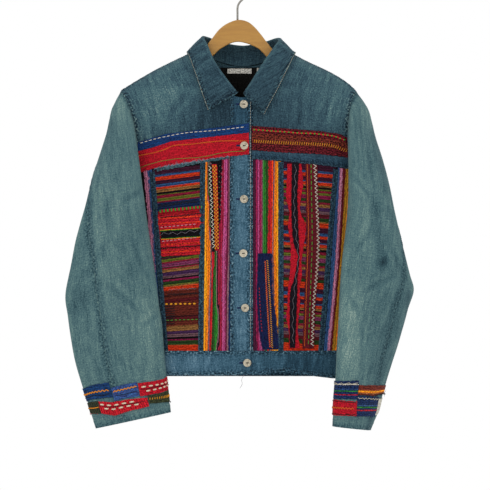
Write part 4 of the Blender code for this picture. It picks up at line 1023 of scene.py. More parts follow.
def fill_mesh(name, outer, inner):
    """A closed shell between two sheets of points, and the row and column of each of its points."""
    columns, rows = outer.shape[1] - 1, outer.shape[0] - 1
    mesh = bmesh.new()
    bmesh.ops.create_grid(mesh, x_segments=columns, y_segments=rows, size=1.0)
    grown = bmesh.ops.extrude_face_region(mesh, geom=mesh.faces[:], use_keep_orig=True)["geom"]
    outside = [part for part in grown if isinstance(part, bmesh.types.BMVert)]
    bmesh.ops.translate(mesh, verts=outside, vec=(0, 0, 1))
    bmesh.ops.recalc_face_normals(mesh, faces=mesh.faces[:])
    data = mesh_data(name, mesh)
    where = np.empty(len(data.vertices) * 3)
    data.vertices.foreach_get("co", where)
    where = where.reshape(-1, 3)
    column = np.rint((where[:, 0] + 1) / 2 * columns).astype(int)
    row = np.rint((where[:, 1] + 1) / 2 * rows).astype(int)
    top = where[:, 2] > 0.5
    points = np.where(top[:, None], outer[row, column], inner[row, column]) * MM
    data.vertices.foreach_set("co", points.ravel())
    middle = rows // 2, columns // 2
    right = outer[middle[0], middle[1] + 1] - outer[middle]
    up = outer[middle[0] + 1, middle[1]] - outer[middle]
    if np.dot(np.cross(right, up), outer[middle] - inner[middle]) < 0:
        data.flip_normals()
    data.update()
    return data, row, column


def add_layer(data, name, values):
    """A map (two values for each point) as a UV layer, or one value as an attribute."""
    if values.ndim == 2:
        corners = np.empty(len(data.loops), int)
        data.loops.foreach_get("vertex_index", corners)
        layer = data.uv_layers.new(name=name)
        layer.data.foreach_set("uv", values[corners].ravel())
    else:
        layer = data.attributes.new(name, "FLOAT", "POINT")
        layer.data.foreach_set("value", values)


def cloth(name, node, slot, at, wall, finish_name, size=3.5, laps=None, rows=None, worn=None, **held):
    """A sheet of cloth that replaces its node: at(s, t, lift) gives its points in millimetres."""
    laps = laps or {}
    coarse = np.meshgrid(np.linspace(0, 1, ROUGH_CELLS), np.linspace(0, 1, ROUGH_CELLS))
    rough = margins_of(at(*coarse, np.zeros(coarse[0].shape)))
    columns = int(max(4, round(rough["left"][:, -1].max() / size)))
    levels = int(max(2, round(rough["bottom"][-1].max() / size)))
    s, t = np.meshgrid(np.linspace(0, 1, columns + 1), np.linspace(0, 1, levels + 1))
    flat = at(s, t, np.zeros(s.shape))
    margins = margins_of(flat)
    lift = rumple(flat) + seam_relief(margins, laps)
    outer, inner = at(s, t, lift), at(s, t, lift - wall)
    out = unit(outer - inner)
    data, row, column = fill_mesh(name, outer, inner)
    add_layer(data, "cloth", (joined(margins["left"], margins["bottom"]) * MM)[row, column])
    chart = chart_of(finish_name)
    if chart:
        add_layer(data, "chart", (chart(flat) * MM)[row, column])
    near = np.minimum.reduce([np.full(s.shape, SEAM_REACH), *(margins[edge] for edge in laps)])
    add_layer(data, "seam", near[row, column])
    # Painted shade: darker where the cloth sinks into hollows and creases, paler where it stands out, as worn
    # denim also is
    ridge = stand_out(outer, out, max(2, round(RIDGE_SIZE / size)))
    inside = np.minimum.reduce([margins[edge] for edge in EDGES])
    ridge = np.clip((ridge - np.median(ridge)) * RIDGE_WEAR_AND_SHADE, -RIDGE_MOST, RIDGE_MOST)
    fade = ridge * ease(inside / RIDGE_EDGE) + (worn(flat) if worn else 0.0)
    add_layer(data, "fade", fade[row, column])
    data.materials.append(finish(finish_name))
    round_off(data, 60)
    piece = linked(name, data)
    hand_over(piece, slot, node)
    right, up = outer[:-1, 1:] - outer[:-1, :-1], outer[1:, :-1] - outer[:-1, :-1]
    PIECES[name] = {
        "points": outer,
        "out": out,
        "margins": margins_of(outer),
        "flat": (margins["left"][:, -1].max() * MM, margins["bottom"][-1].max() * MM),
        "area": np.linalg.norm(np.cross(right, up), axis=-1).sum() * MM * MM,
        "held": held,
    }
    for edge, offsets in (rows or {}).items():
        for offset in offsets:
            STITCHED.extend(stitches_on(*edge_line(name, edge, offset)))


def edge_line(name, edge, offset, shares=(0.0, 1.0)):
    """The points and outward ways along a piece at a distance from one of its edges."""
    piece = PIECES[name]
    points, out, away = piece["points"], piece["out"], piece["margins"][edge]
    if edge in ("bottom", "top"):
        points, out, away = points.swapaxes(0, 1), out.swapaxes(0, 1), away.T
    found, ways = [], []
    for line, line_out, distance in zip(points, out, away):
        order = np.argsort(distance)
        number = np.interp(offset, distance[order], order.astype(float))
        k = min(int(number), len(line) - 2)
        found.append(line[k] + (line[k + 1] - line[k]) * (number - k))
        ways.append(line_out[k])
    first, last = (round(share * (len(found) - 1)) for share in shares)
    return np.array(found[first : last + 1]), np.array(ways[first : last + 1])


# Sewing


def distances(points):
    """Distances along a line of points."""
    steps = np.linalg.norm(np.diff(points, axis=0), axis=1)
    return np.concatenate([[0.0], np.cumsum(steps)])


def read_line(points, far):
    """Points at distances along a line of points."""
    run = distances(points)
    return np.stack([np.interp(far, run, column) for column in points.T], axis=-1)


def stitches_on(points, ways, length=2.7, gap=1.0, rise=0.2, sink=0.5):
    """Short stitches along a line on the cloth, their ends sunk into it."""
    total = distances(points)[-1]
    count = max(1, int(total / (length + gap)))
    starts = (np.arange(count) + 0.15) * total / count
    far = starts[:, None] + np.array([0.0, 0.22, 0.78, 1.0]) * length
    heights = np.array([-sink, rise, rise, -sink])
    along = read_line(points, far.ravel()).reshape(count, 4, 3)
    out = read_line(np.concatenate([points, ways], axis=1), far.ravel())[:, 3:].reshape(count, 4, 3)
    return list(along + out * heights[None, :, None])


def sewing(name, runs, radius, finish_name, slot, on, sides=1, tips=1.0, node=None):
    """Threads along many runs of points, as one piece sewn on another."""
    curve = bpy.data.curves.new(name, "CURVE")
    curve.dimensions = "3D"
    curve.bevel_depth = radius * MM
    curve.bevel_resolution = sides
    curve.use_fill_caps = True
    for run in runs:
        line = curve.splines.new("POLY")
        line.points.add(len(run) - 1)
        points = np.ones((len(run), 4))
        points[:, :3] = np.asarray(run) * MM
        line.points.foreach_set("co", points.ravel())
        line.points[0].radius = line.points[-1].radius = tips
    route = linked(f"{name}_route", curve)
    view = bpy.context.evaluated_depsgraph_get()
    tubes = bpy.data.meshes.new_from_object(route.evaluated_get(view))
    bpy.data.objects.remove(route)
    mesh = bmesh.new()
    mesh.from_mesh(tubes)
    bpy.data.meshes.remove(tubes)
    bmesh.ops.remove_doubles(mesh, verts=mesh.verts[:], dist=0.002 * MM)
    bmesh.ops.recalc_face_normals(mesh, faces=mesh.faces[:])
    data = mesh_data(name, mesh, finish_name)
    round_off(data)
    piece = linked(name, data)
    hand_over(piece, slot, node)
    ON_PIECES.setdefault(on, []).append(name)


def drawn(points, step=1.0):
    """A smooth flat line through a few points, and its points at even distances."""
    points = np.array(points, float)
    knots = distances(points)
    fine = smooth(knots, points, np.linspace(0, knots[-1], 200))
    total = distances(fine)[-1]
    return read_line(fine, np.arange(0, total, step))


def sideways(line):
    """The flat way to the left of a line at each of its points."""
    ahead = unit(np.gradient(line, axis=0))
    return joined(-ahead[:, 1], ahead[:, 0])


def dashes(line, length, gap, shift=0.0):
    """Pieces of a flat line, with gaps between them."""
    starts = np.arange(0, distances(line)[-1] - length, length + gap)
    moved = line + sideways(line) * shift
    return [read_line(moved, np.linspace(start, start + length, 4)) for start in starts]


def zigzag(line, period, reach, drift=0.0):
    """A flat zigzag along a line."""
    far = np.arange(0, distances(line)[-1], period / 2)
    middle = read_line(line, far)
    signs = np.where(np.arange(len(far)) % 2, 1.0, -1.0)
    corners = middle + sideways(middle) * (signs * reach + np.sin(far * 1.7) * drift)[:, None]
    return [read_line(corners, np.linspace(0, distances(corners)[-1], len(far) * 3))]


def ticks(line, spacing, reach, slant=0.0):
    """Short flat stitches across a line."""
    middle = read_line(line, np.arange(spacing / 2, distances(line)[-1], spacing))
    beside = sideways(middle)
    way = beside * reach + joined(beside[:, 1], -beside[:, 0]) * slant
    return [np.linspace(m - w, m + w, 3) for m, w in zip(middle, way)]


def raised(runs, lift, onto=front_point):
    """Flat runs laid on the cloth at a height, their ends sunk a little."""
    laid = []
    for run in runs:
        height = np.full(len(run), float(lift))
        height[[0, -1]] -= 0.5
        laid.append(onto(run[:, 0], run[:, 1], height))
    return laid


# Finishes


def linear(hex_colour):
    """An sRGB hex colour as linear RGBA."""
    parts = [int(hex_colour[k : k + 2], 16) / 255 for k in (1, 3, 5)]
    return [c / 12.92 if c <= 0.04045 else ((c + 0.055) / 1.055) ** 2.4 for c in parts] + [1.0]


class Look:
    """A material under way: its shader, with a method for each kind of node that feeds it."""

    def __init__(self, name):
        self.name = name
        self.material = bpy.data.materials.new(name)
        self.material.use_nodes = True
        self.tree = self.material.node_tree
        self.tree.nodes.clear()
        self.shader = self.node("BsdfPrincipled")
        self.node("OutputMaterial", Surface=self.shader.outputs["BSDF"])

    def feed(self, node, inputs):
        """Values or links for a node's inputs."""
        for name, value in inputs.items():
            if isinstance(value, bpy.types.NodeSocket):
                self.tree.links.new(value, node.inputs[name])
            else:
                node.inputs[name].default_value = value

    def shade(self, inputs):
        """Values or links for the shader."""
        self.feed(self.shader, inputs)

    def node(self, kind, settings=None, numbered=None, **named):
        """A node with its settings, and with values or links for its numbered and named inputs."""
        node = self.tree.nodes.new(f"ShaderNode{kind}")
        for name, value in (settings or {}).items():
            setattr(node, name, value)
        self.feed(node, {**(numbered or {}), **named})
        return node

    def uv(self, name):
        """One of the cloth's two maps."""
        return self.node("UVMap", {"uv_map": name}).outputs["UV"]

    def layer(self, name):
        """A value that the cloth keeps at each of its points."""
        return self.node("Attribute", {"attribute_name": name}).outputs["Fac"]

    def own_place(self):
        """Places in the piece's own space."""
        return self.node("TexCoord").outputs["Object"]

    def math(self, operation, *values, clamp=False):
        """The result of a math node."""
        settings = {"operation": operation, "use_clamp": clamp}
        return self.node("Math", settings, dict(enumerate(values))).outputs[0]

    def plus(self, first, second):
        """A sum."""
        return self.math("ADD", first, second)

    def times(self, first, second):
        """A product."""
        return self.math("MULTIPLY", first, second)

    def scaled(self, value, factor, offset=0.0):
        """A value times a factor, with an offset added."""
        return self.math("MULTIPLY_ADD", value, factor, offset)

    def less(self, first, second, clamp=False):
        """A difference."""
        return self.math("SUBTRACT", first, second, clamp=clamp)

    def mix(self, factor, first, second, blend="MIX"):
        """One colour over another."""
        settings = {"data_type": "RGBA", "blend_type": blend}
        return self.node("Mix", settings, {0: factor, 6: first, 7: second}).outputs[2]

    def ramp(self, stops, factor, interpolation="LINEAR"):
        """A colour ramp through (position, hex colour) stops."""
        node = self.node("ValToRGB", Fac=factor)
        ramp = node.color_ramp
        ramp.interpolation = interpolation
        while len(ramp.elements) > 1:
            ramp.elements.remove(ramp.elements[-1])
        ramp.elements[0].position = stops[0][0]
        ramp.elements[0].color = linear(stops[0][1])
        for position, colour in stops[1:]:
            ramp.elements.new(position).color = linear(colour)
        return node.outputs["Color"]

    def noise(self, vector, scale, detail, distortion=0.0):
        """Soft noise at places."""
        values = {"Scale": scale, "Detail": detail, "Distortion": distortion}
        return self.node("TexNoise", None, values, Vector=vector).outputs["Fac"]

    def stretched(self, vector, scale, location=(0, 0, 0)):
        """Places scaled by another factor in each direction, then moved."""
        return self.node("Mapping", Vector=vector, Scale=scale, Location=location).outputs["Vector"]

    def grain(self, vector, width, length, detail=2.0, offset=0.0):
        """Noise stretched along the cloth: grains of a width and length in millimetres."""
        scale = (1000 / width, 1000 / length, 1000 / width)
        return self.noise(self.stretched(vector, scale, (offset, offset * 0.7, 0)), 1.0, detail)

    def bump(self, height, distance, strength=0.6):
        """A bump on the shader, its depth in millimetres."""
        node = self.node("Bump", Height=height, Distance=distance * MM, Strength=strength)
        self.shade({"Normal": node.outputs["Normal"]})

    def cotton(self, roughness=0.92, sheen=0.04):
        """The dull face of cotton or wool, with the soft light edge of its nap."""
        self.shade({
            "Roughness": roughness, "IOR": 1.45, "Specular IOR Level": 0.1, "Sheen Weight": sheen,
            "Sheen Roughness": 0.5,
        })


# Washed indigo denim: tones from unworn to worn through to the white weft, and the strength of its ropes
DENIM_TONES = {
    "denim body": (("#0E1A23", "#1E313C", "#334C58", "#4B6A6F", "#93A69C"), 2.2),
    "denim sleeve": (("#14262E", "#2F4A52", "#48656A", "#64807D", "#9FB0A3"), 1.1),
    "denim waist": (("#0F1C26", "#223D4D", "#365668", "#547588", "#93A9AC"), 2.4),
    "denim strap": (("#0C151D", "#182A38", "#2A4454", "#426070", "#71899A"), 1.4),
}
TONE_STOPS = (0.05, 0.33, 0.52, 0.72, 1.0)

# Streaks, weft, clouds, mottle and fine grain of the denim: width, length, detail, place, amount
DENIM_GRAINS = (
    (7.0, 90, 3.0, 3.1, 0.30),
    (14, 2.4, 2.0, 7.7, 0.22),
    (40, 46, 3.0, 1.3, 0.16),
    (6.5, 8.5, 3.0, 8.8, 0.08),
    (2.1, 2.6, 2.0, 5.2, 0.70),
)


def denim(look):
    """Washed denim: slubs and streaks down the warp, a twill, worn ropes and a painted shade along the seams.
    """
    tones, ropes = DENIM_TONES[look.name]
    vector, seam = look.uv("cloth"), look.layer("seam")
    slub = look.grain(vector, 1.5, 22)
    tone = look.scaled(slub, 0.48, 0.5 - 0.5 * 0.48)
    for width, length, detail, offset, amount in DENIM_GRAINS:
        part = look.grain(vector, width, length, detail, offset)
        tone = look.plus(tone, look.scaled(part, amount, -0.5 * amount))
    # The layer of wear and painted shade: worn spots, paler ridges and darker hollows
    tone = look.plus(tone, look.layer("fade"))
    # Worn ropes beside the seams, less 0.19: a painted shade that darkens the cloth along each seam
    beside = look.less(1.15, look.math("DIVIDE", seam, 10.0), clamp=True)
    rope = look.scaled(look.grain(vector, 3.6, 3.8, 1.0, 9.4), ropes, -0.49 * ropes)
    tone = look.plus(tone, look.times(look.less(rope, 0.19), beside))
    rim = look.less(1.0, look.math("DIVIDE", seam, 1.6), clamp=True)
    tone = look.scaled(rim, 0.14, tone)
    look.shade({"Base Color": look.ramp(list(zip(TONE_STOPS, tones)), tone)})
    waves = {"wave_type": "BANDS", "bands_direction": "DIAGONAL"}
    twill = look.node("TexWave", waves, Vector=vector, Scale=260.0, Distortion=1.2, Detail=1.0).outputs["Fac"]
    height = look.plus(look.times(twill, 0.35), look.times(slub, 0.8))
    look.bump(look.plus(height, look.times(rope, beside)), 0.45)
    look.cotton()


def yarn_shading(look, colour, vector, along, across, tone, speckle, flecks, ribbed=None):
    """Coarse weave over a colour: uneven threads and specks that shade it and stand up from it."""
    threads = look.grain(vector, along, across)
    ribs = look.grain(vector, along * 2.8, across * 2.7, 1.0, 3.3)
    picks = look.grain(vector, 1.7, 1.7, 2.0, 4.2)
    light = look.scaled(threads, 1.1 * tone, tone * (1 - 0.55 - 0.3 - speckle / 2))
    light = look.plus(light, look.times(ribs, 0.6 * tone))
    light = look.plus(light, look.times(picks, speckle * tone))
    # On ribbed cloth a painted light and shade across the weft ribs: darker between them, lighter on them
    if ribbed is not None:
        sway = look.grain(vector, 5.0, 5.0, 1.0, 8.1)
        phase = look.scaled(ribbed, math.tau / (RIB * MM))
        wave = look.math("SINE", look.scaled(sway, 9.0, phase))
        light = look.times(light, look.scaled(wave, 0.42, 1.02))
    tufts = look.grain(vector, 2.9, 2.6, 0.0, 7.4)
    light = look.plus(light, look.scaled(tufts, flecks * tone, -0.5 * flecks * tone))
    light = look.math("MAXIMUM", light, 0.08)
    look.shade({"Base Color": look.mix(1.0, colour, light, "MULTIPLY")})
    look.bump(look.plus(threads, look.times(picks, 0.8)), 0.5, 0.8)
    look.cotton(0.95, 0.05)


# Tone, fine speckle and coarse flecks of the striped cloths that differ from the rest
STRIPED_TONES = {
    "panel_a": (0.52, 1.3, 1.2),
    "panel_d": (0.52, 1.2, 1.2),
    "panel_b": (0.86, 1.1, 0.8),
    "panel_c": (0.80, 1.1, 0.8),
    "panel_e": (0.98, 1.0, 0.8),
    "band maroon": (0.70, 1.4, 4.5),
    "patch red": (0.75, 0.9, 2.0),
    "cuff rust": (0.85, 0.9, 2.2),
    "cuff lines high": (0.8, 1.0, 2.6),
    "cuff lines low": (0.8, 1.0, 2.6),
    "cuff ends": (0.9, 0.9, 1.6),
}
USUAL_TONES = (0.85, 0.7, 0.8)
RAMP_LIMIT = 28
RIB = 2.3 * BUNDLE

# Cloths striped across their height: bands of (yarn, width in bundles) from the bottom up
BANDED = {
    "patch red": (
        ("red", 3.5), ("orange", 1), ("red", 3), ("black", 0.8), ("red", 2.2), ("orange", 1), ("red", 4.5),
        ("marigold", 0.6), ("leaf", 0.8), ("black", 6.5), ("leaf", 0.9), ("marigold", 0.6), ("red", 5),
        ("orange", 0.8), ("red", 4.5), ("orange", 1.2), ("red", 3),
    ),
    "band maroon": (("maroon", 9), ("rust", 11), ("maroon", 8)),
    "cuff rust": (("rust", 3), ("tan", 1), ("marigold", 2), ("yellow", 1.5), ("marigold", 1), ("rust", 8)),
    "cuff lines high": (
        ("navy", 4), ("red", 1), ("navy", 2.5), ("leaf", 0.9), ("navy", 0.8), ("steel blue", 0.6),
        ("navy", 4), ("cream", 0.4), ("navy", 3),
    ),
    "cuff lines low": (
        ("navy", 4), ("red", 1.1), ("navy", 1.5), ("leaf", 1.2), ("navy", 0.6), ("steel blue", 1),
        ("navy", 7),
    ),
    "cuff ends": (("olive dark", 66.5), ("red", 33.5)),
}
BANDED_SIDEWAYS = "cuff ends"


def striped(look):
    """Hand-woven cloth in stripes: bands of (yarn, width in bundles) along the chart's x or y."""
    name = look.name
    if name in LONG_STRIPES:
        bands = [(yarn, 1) for yarn in LONG_STRIPES[name][0]]
    else:
        bands = {**CROSS_STRIPES, **BANDED}[name]
    direction = "X" if name in LONG_STRIPES or name == BANDED_SIDEWAYS else "Y"
    vector = look.uv("cloth")
    chart = look.node("SeparateXYZ", Vector=look.uv("chart")).outputs
    flat = look.node("SeparateXYZ", Vector=vector).outputs
    total = sum(width for _, width in bands) * BUNDLE * MM
    place = look.scaled(look.grain(vector, 9, 9, 2.0, 2.6), 0.0014, chart[direction])
    place = look.scaled(look.grain(vector, 1.3, 1.3, 1.0, 6.7), 0.0012, place)
    place = look.math("DIVIDE", look.less(place, 0.0013), total)
    far, stops = 0.0, []
    for yarn, width in bands:
        stops.append((far * BUNDLE * MM / total, YARNS[yarn]))
        far += width
    colour = look.ramp(stops[:RAMP_LIMIT], place, "CONSTANT")
    for first in range(RAMP_LIMIT, len(stops), RAMP_LIMIT):
        past = look.math("GREATER_THAN", place, stops[first][0])
        colour = look.mix(past, colour, look.ramp(stops[first : first + RAMP_LIMIT], place, "CONSTANT"))
    tone, speckle, flecks = STRIPED_TONES.get(name, USUAL_TONES)
    along, across = (14.0, 0.9) if direction == "Y" else (0.9, 14.0)
    ribbed = chart["Y"] if name in CROSS_STRIPES else flat[direction]
    yarn_shading(look, colour, vector, along, across, tone, speckle, flecks, ribbed)


# Plain woven cloths: base yarn, second yarn that shows through, threads' length across and up
PLAIN_WEAVES = {
    "wool red": ("#AE1524", "#8A101E", 8.0, 1.0),
    "wool maroon": ("#64181F", "#36121C", 1.0, 8.0),
    "patch navy": ("#0B1E40", "#1A1030", 1.4, 6.0),
    "braid black": ("#0C0A0F", "#19151E", 1.2, 3.0),
    "braid yellow": ("#A81C22", "#7C1620", 1.2, 3.0),
    "band blue": ("#0F3A6A", "#1A1E46", 12.0, 1.2),
    "cuff navy": ("#1C4070", "#0B1630", 9.0, 1.3),
    "cuff blue": ("#33588C", "#2E2458", 9.0, 1.4),
    "cuff olive": ("#3A4028", "#161A18", 2.5, 1.2),
    "cuff white": ("#C6C3B6", "#A09C8E", 2.0, 2.0),
    "label": ("#E4E1D8", "#CFCBC0", 4.0, 0.7),
    "lining": ("#111110", "#1A1917", 1.0, 1.0),
}


def plain_weave(look):
    """A plain coarse weave of two close yarns."""
    first, second, along, across = PLAIN_WEAVES[look.name]
    vector = look.uv("cloth")
    show = look.grain(vector, along * 1.6, across * 1.6, 3.0, 6.1)
    colour = look.ramp(((0.35, first), (0.72, second)), show)
    yarn_shading(look, colour, vector, along, across, 1.0, 1.0, 1.6)


# Sewing threads: colour, shade, roughness
THREADS = {
    "thread denim": ("#52707A", "#2C434E", 0.8),
    "thread fray": ("#7F98A6", "#506F80", 0.9),
    "thread white": ("#D9D3C4", "#B9B2A2", 0.75),
    "thread cream": ("#DCD2BA", "#BDB298", 0.75),
    "thread ecru": ("#C4BDA8", "#A59D88", 0.75),
    "thread orange": ("#D8661A", "#B04E12", 0.75),
    "thread amber": ("#D98A24", "#B96C16", 0.75),
    "thread yellow": ("#DF9A20", "#BE7816", 0.75),
    "thread green": ("#4F9A2E", "#3B7A26", 0.75),
    "thread red": ("#C8202A", "#9A1820", 0.75),
    "thread black": ("#17141A", "#0E0C10", 0.8),
    "thread grey": ("#8B858C", "#5E5A62", 0.75),
    "thread olive": ("#7C8034", "#5F6428", 0.75),
    "thread navy": ("#1C3468", "#121F44", 0.8),
    "thread pink": ("#C88F9A", "#A86C76", 0.75),
}


def thread(look):
    """Twisted cotton thread."""
    first, second, roughness = THREADS[look.name]
    twist = look.noise(look.own_place(), 900.0, 1.0)
    look.shade({"Base Color": look.ramp(((0.35, first), (0.65, second)), twist)})
    look.cotton(roughness, 0.1)


def pearl(look):
    """Cast pearl polyester: a cloudy cream with a clear glossy skin."""
    cloud = look.noise(look.own_place(), 190.0, 3.0, 1.6)
    look.shade({
        "Base Color": look.ramp(((0.3, "#7E745F"), (0.5, "#AEA48D"), (0.7, "#D0C7B2")), cloud),
        "Roughness": 0.28, "IOR": 1.53, "Coat Weight": 0.5, "Coat Roughness": 0.12,
    })


def beech(look):
    """Varnished beech: honey brown, fine pores along the board, a satin coat."""
    placed = look.stretched(look.own_place(), (9.0, 60.0, 75.0))
    grain = look.noise(placed, 1.6, 5.0, 0.6)
    pores = look.noise(placed, 14.0, 2.0)
    tone = look.plus(look.times(grain, 0.75), look.times(pores, 0.25))
    look.shade({
        "Base Color": look.ramp(((0.3, "#9E6D25"), (0.5, "#AB7A2C"), (0.7, "#B58433")), tone),
        "Roughness": 0.42, "Coat Weight": 0.25, "Coat Roughness": 0.3,
    })
    look.bump(pores, 0.05, 0.4)


def bright_wire(look):
    """Zinc-plated steel wire, drawn lengthwise."""
    marks = look.noise(look.own_place(), 420.0, 2.0)
    look.shade({
        "Base Color": look.ramp(((0.35, "#7E7C77"), (0.65, "#99968F")), marks),
        "Roughness": look.scaled(marks, 0.2, 0.28), "Metallic": 1.0,
    })


MAKERS = (
    (DENIM_TONES, denim),
    ({**CROSS_STRIPES, **LONG_STRIPES, **BANDED}, striped),
    (PLAIN_WEAVES, plain_weave),
    (THREADS, thread),
    (("pearl",), pearl),
    (("beech",), beech),
    (("wire",), bright_wire),
)
FINISHES = {}


def finish(name):
    """The named material, made when it is first asked for."""
    if name not in FINISHES:
        look = Look(name)
        for names, make in MAKERS:
            if name in names:
                make(look)
        FINISHES[name] = look.material
    return FINISHES[name]


# Where the denim is worn paler, or stays darker: face, across, level, reach across and up, amount
WORN_BODY = (
    (FRONT, -165, -240, 46, 40, 0.17),
    (FRONT, -120, -206, 50, 30, 0.08),
    (FRONT, -190, -300, 26, 30, 0.14),
    (FRONT, 176, -236, 40, 46, 0.14),
    (FRONT, 112, -200, 44, 26, 0.04),
    (FRONT, 0, -255, 70, 60, -0.10),
    (FRONT, -40, -262, 44, 30, -0.10),
    (FRONT, 0, -480, 26, 160, 0.10),
    (FRONT, 4, -640, 26, 60, 0.08),
    (FRONT, -110, -720, 70, 24, 0.15),
    (FRONT, 112, -722, 60, 24, -0.15),
    (BACK, -110, -250, 70, 50, 0.12),
    (BACK, 110, -246, 70, 50, 0.12),
    (BACK, 0, -300, 60, 60, -0.08),
    (BACK, 0, -520, 90, 120, 0.10),
    (BACK, -150, -620, 50, 70, 0.06),
    (BACK, 150, -610, 50, 70, 0.05),
)

# The same on the sleeves: side (0 for both), height Z, X from the jacket's centre, reaches, amount
WORN_SLEEVE = (
    (0, -640, 0, 220, 400, 0.07),
    (RIGHT, -300, -262, 60, 30, -0.04),
    (RIGHT, -250, -226, 40, 12, 0.12),
    (RIGHT, -430, -235, 80, 40, 0.04),
    (RIGHT, -540, -205, 110, 16, -0.06),
    (RIGHT, -520, -262, 120, 20, 0.07),
    (RIGHT, -600, -310, 90, 22, -0.05),
    (RIGHT, -680, -190, 110, 30, 0.08),
    (RIGHT, -815, -200, 26, 80, 0.06),
    (LEFT, -700, 198, 140, 22, 0.15),
    (LEFT, -720, 262, 60, 26, -0.07),
    (LEFT, -560, 250, 90, 22, -0.06),
    (LEFT, -450, 225, 120, 20, 0.06),
    (LEFT, -330, 252, 80, 30, -0.07),
    (LEFT, -270, 232, 30, 10, 0.14),
    (LEFT, -640, 296, 60, 20, -0.10),
)

# A stain on the left sleeve: X, Z, long and short reach along its slant of 45 degrees, amount
STAIN = (271.0, -531.0, 10.0, 6.5, -0.34)


def worn_body(points):
    """How much paler the body's denim is at its points."""
    across, level = seen(points)
    face = np.where(points[..., 1] > MIDDLE_DEPTH, BACK, FRONT)
    total = np.zeros(across.shape)
    for where, middle, height, wide, tall, amount in WORN_BODY:
        spot = amount * bell((across - middle) / wide, (level - height) / tall)
        total += np.where(face == where, spot, 0.0)
    return total


def worn_sleeve(side):
    """How much paler a sleeve's denim is at its points."""

    def at(points):
        across, level = seen(points)
        total = np.zeros(across.shape)
        for where, height, middle, tall, wide, amount in WORN_SLEEVE:
            if where in (0, side):
                total += amount * bell((across - middle) / wide, (level - height) / tall)
        x, z, long, short, amount = STAIN
        if side == LEFT:
            right, up = points[..., 0] - x, level - z
            slanted = math.sqrt(2)
            total += amount * bell((right + up) / slanted / long, (right - up) / slanted / short)
        return total

    return at


# The pieces


def front_places(points):
    """Points (across, level) of the front as places (turn, level)."""
    points = np.asarray(points, float)
    return joined(turn_of(points[..., 0], points[..., 1]), points[..., 1])


# Laps along sewn edges: their width, height and pucker
FLAT_LAP = (7.0, 0.7, 0.25)
BACK_LAP = (8.0, 0.7, 0.25)
SHOULDER_LAP = (6.0, 0.6, 0.2)
SOFT_LAP = (3.0, 0.4, 0.15)
SIDE_LAP = (5.0, 0.5, 0.25)
PANEL_LAP = (6.0, 0.5, 0.25)
UNDER_LAP = (4.0, 0.4, 0.2)
STRAP_LAP = (0.8, -0.3, 0.15)
WAIST_LAP = (4.0, 0.3, 0.35)
SLEEVE_LAP = (6.0, 0.6, 0.3)
SLEEVE_HEM = (14.0, 0.5, 0.4)
COLLAR_LAP = (8.0, 0.35, 0.3)


def front_yokes():
    """The two front yokes, from the shoulder down to the chest seam."""
    for side, word in SIDES:
        seam = YOKE_SEAM[side]
        neck = [*front_places((seam[1], *NECKLINE[side])), np.array([side, NECK_POINT])]
        place = patch(
            bottom=lambda s, seam=seam: front_places(listed(seam, s)),
            top=lambda s, side=side: listed(((side, SHOULDER_TIP), (side, NECK_POINT)), s),
            left=lambda t, side=side: armhole(side, YOKE_FRONT_END * (1 - t)),
            right=lambda t, neck=neck: listed(neck, t),
        )
        cloth(f"yoke_{word}_denim", f"front_yoke_{word}", "denim", on_body(place), DENIM, "denim body",
              laps={"left": FLAT_LAP, "top": SHOULDER_LAP}, rows={"left": (1.8, 7.0), "top": (1.8, 6.0)},
              worn=worn_body, rests_on="hanger_board")


def back_neckline(side):
    """The back neckline from the centre to the neck point, as places on one side."""
    scale = side * abs(float(body_at(np.array(float(side)), np.array(NECK_POINT))[0])) / NECKLINE_HALF
    middle = [(float(turn_of(across * scale, level, BACK)), level) for across, level in BACK_NECKLINE]
    return [(2.0 * side, BACK_NECK), *middle, (side, NECK_POINT)]


def back_seam_level():
    """The level of the seam between the back yoke and the back panel."""
    return float(armhole_at(RIGHT, np.array(float(YOKE_BACK_END)))[1])


def back_yoke():
    """The back yoke, one piece from the neck and shoulders down to its seam."""
    low = back_seam_level()

    def half(side):
        neck = back_neckline(side)
        shoulder = ((side, NECK_POINT), (side, SHOULDER_TIP))
        corner = armhole(side, YOKE_BACK_END)

        def top(share):
            past = listed(shoulder, (share - NECK_SHARE) / (1 - NECK_SHARE))
            return np.where((share <= NECK_SHARE)[..., None], listed(neck, share / NECK_SHARE), past)

        return patch(
            bottom=lambda s: listed(((2 * side, low), corner), s),
            top=top,
            left=lambda t: joined(2.0 * side, low + (BACK_NECK - low) * t),
            right=lambda t: armhole(side, YOKE_BACK_END * (1 - t)),
        )

    halves = half(RIGHT), half(LEFT)

    def place(s, t):
        share = np.abs(2 * s - 1)
        return np.where((s < 0.5)[..., None], halves[0](share, t), halves[1](share, t))

    cloth("yoke_back_denim", "back_yoke", "denim", on_body(place, BACK), DENIM, "denim body",
          laps={"left": FLAT_LAP, "right": FLAT_LAP, "bottom": BACK_LAP}, worn=worn_body,
          rows=dict.fromkeys(("left", "right", "bottom"), (1.8, 7.5)), rests_on="hanger_board")


def side_edge(side, first_angle, sign):
    """The outer edge of a lower piece, from the waistband up the side seam and round the armhole."""
    steps = abs(180 - first_angle) // ARMHOLE_STEP
    seam = [(side, HEM_TOP + (UNDERARM - HEM_TOP) * k / SIDE_ROWS) for k in range(SIDE_ROWS)]
    hole = [tuple(armhole(side, sign * (180 - ARMHOLE_STEP * k))) for k in range(steps + 1)]
    return np.array(seam + hole)


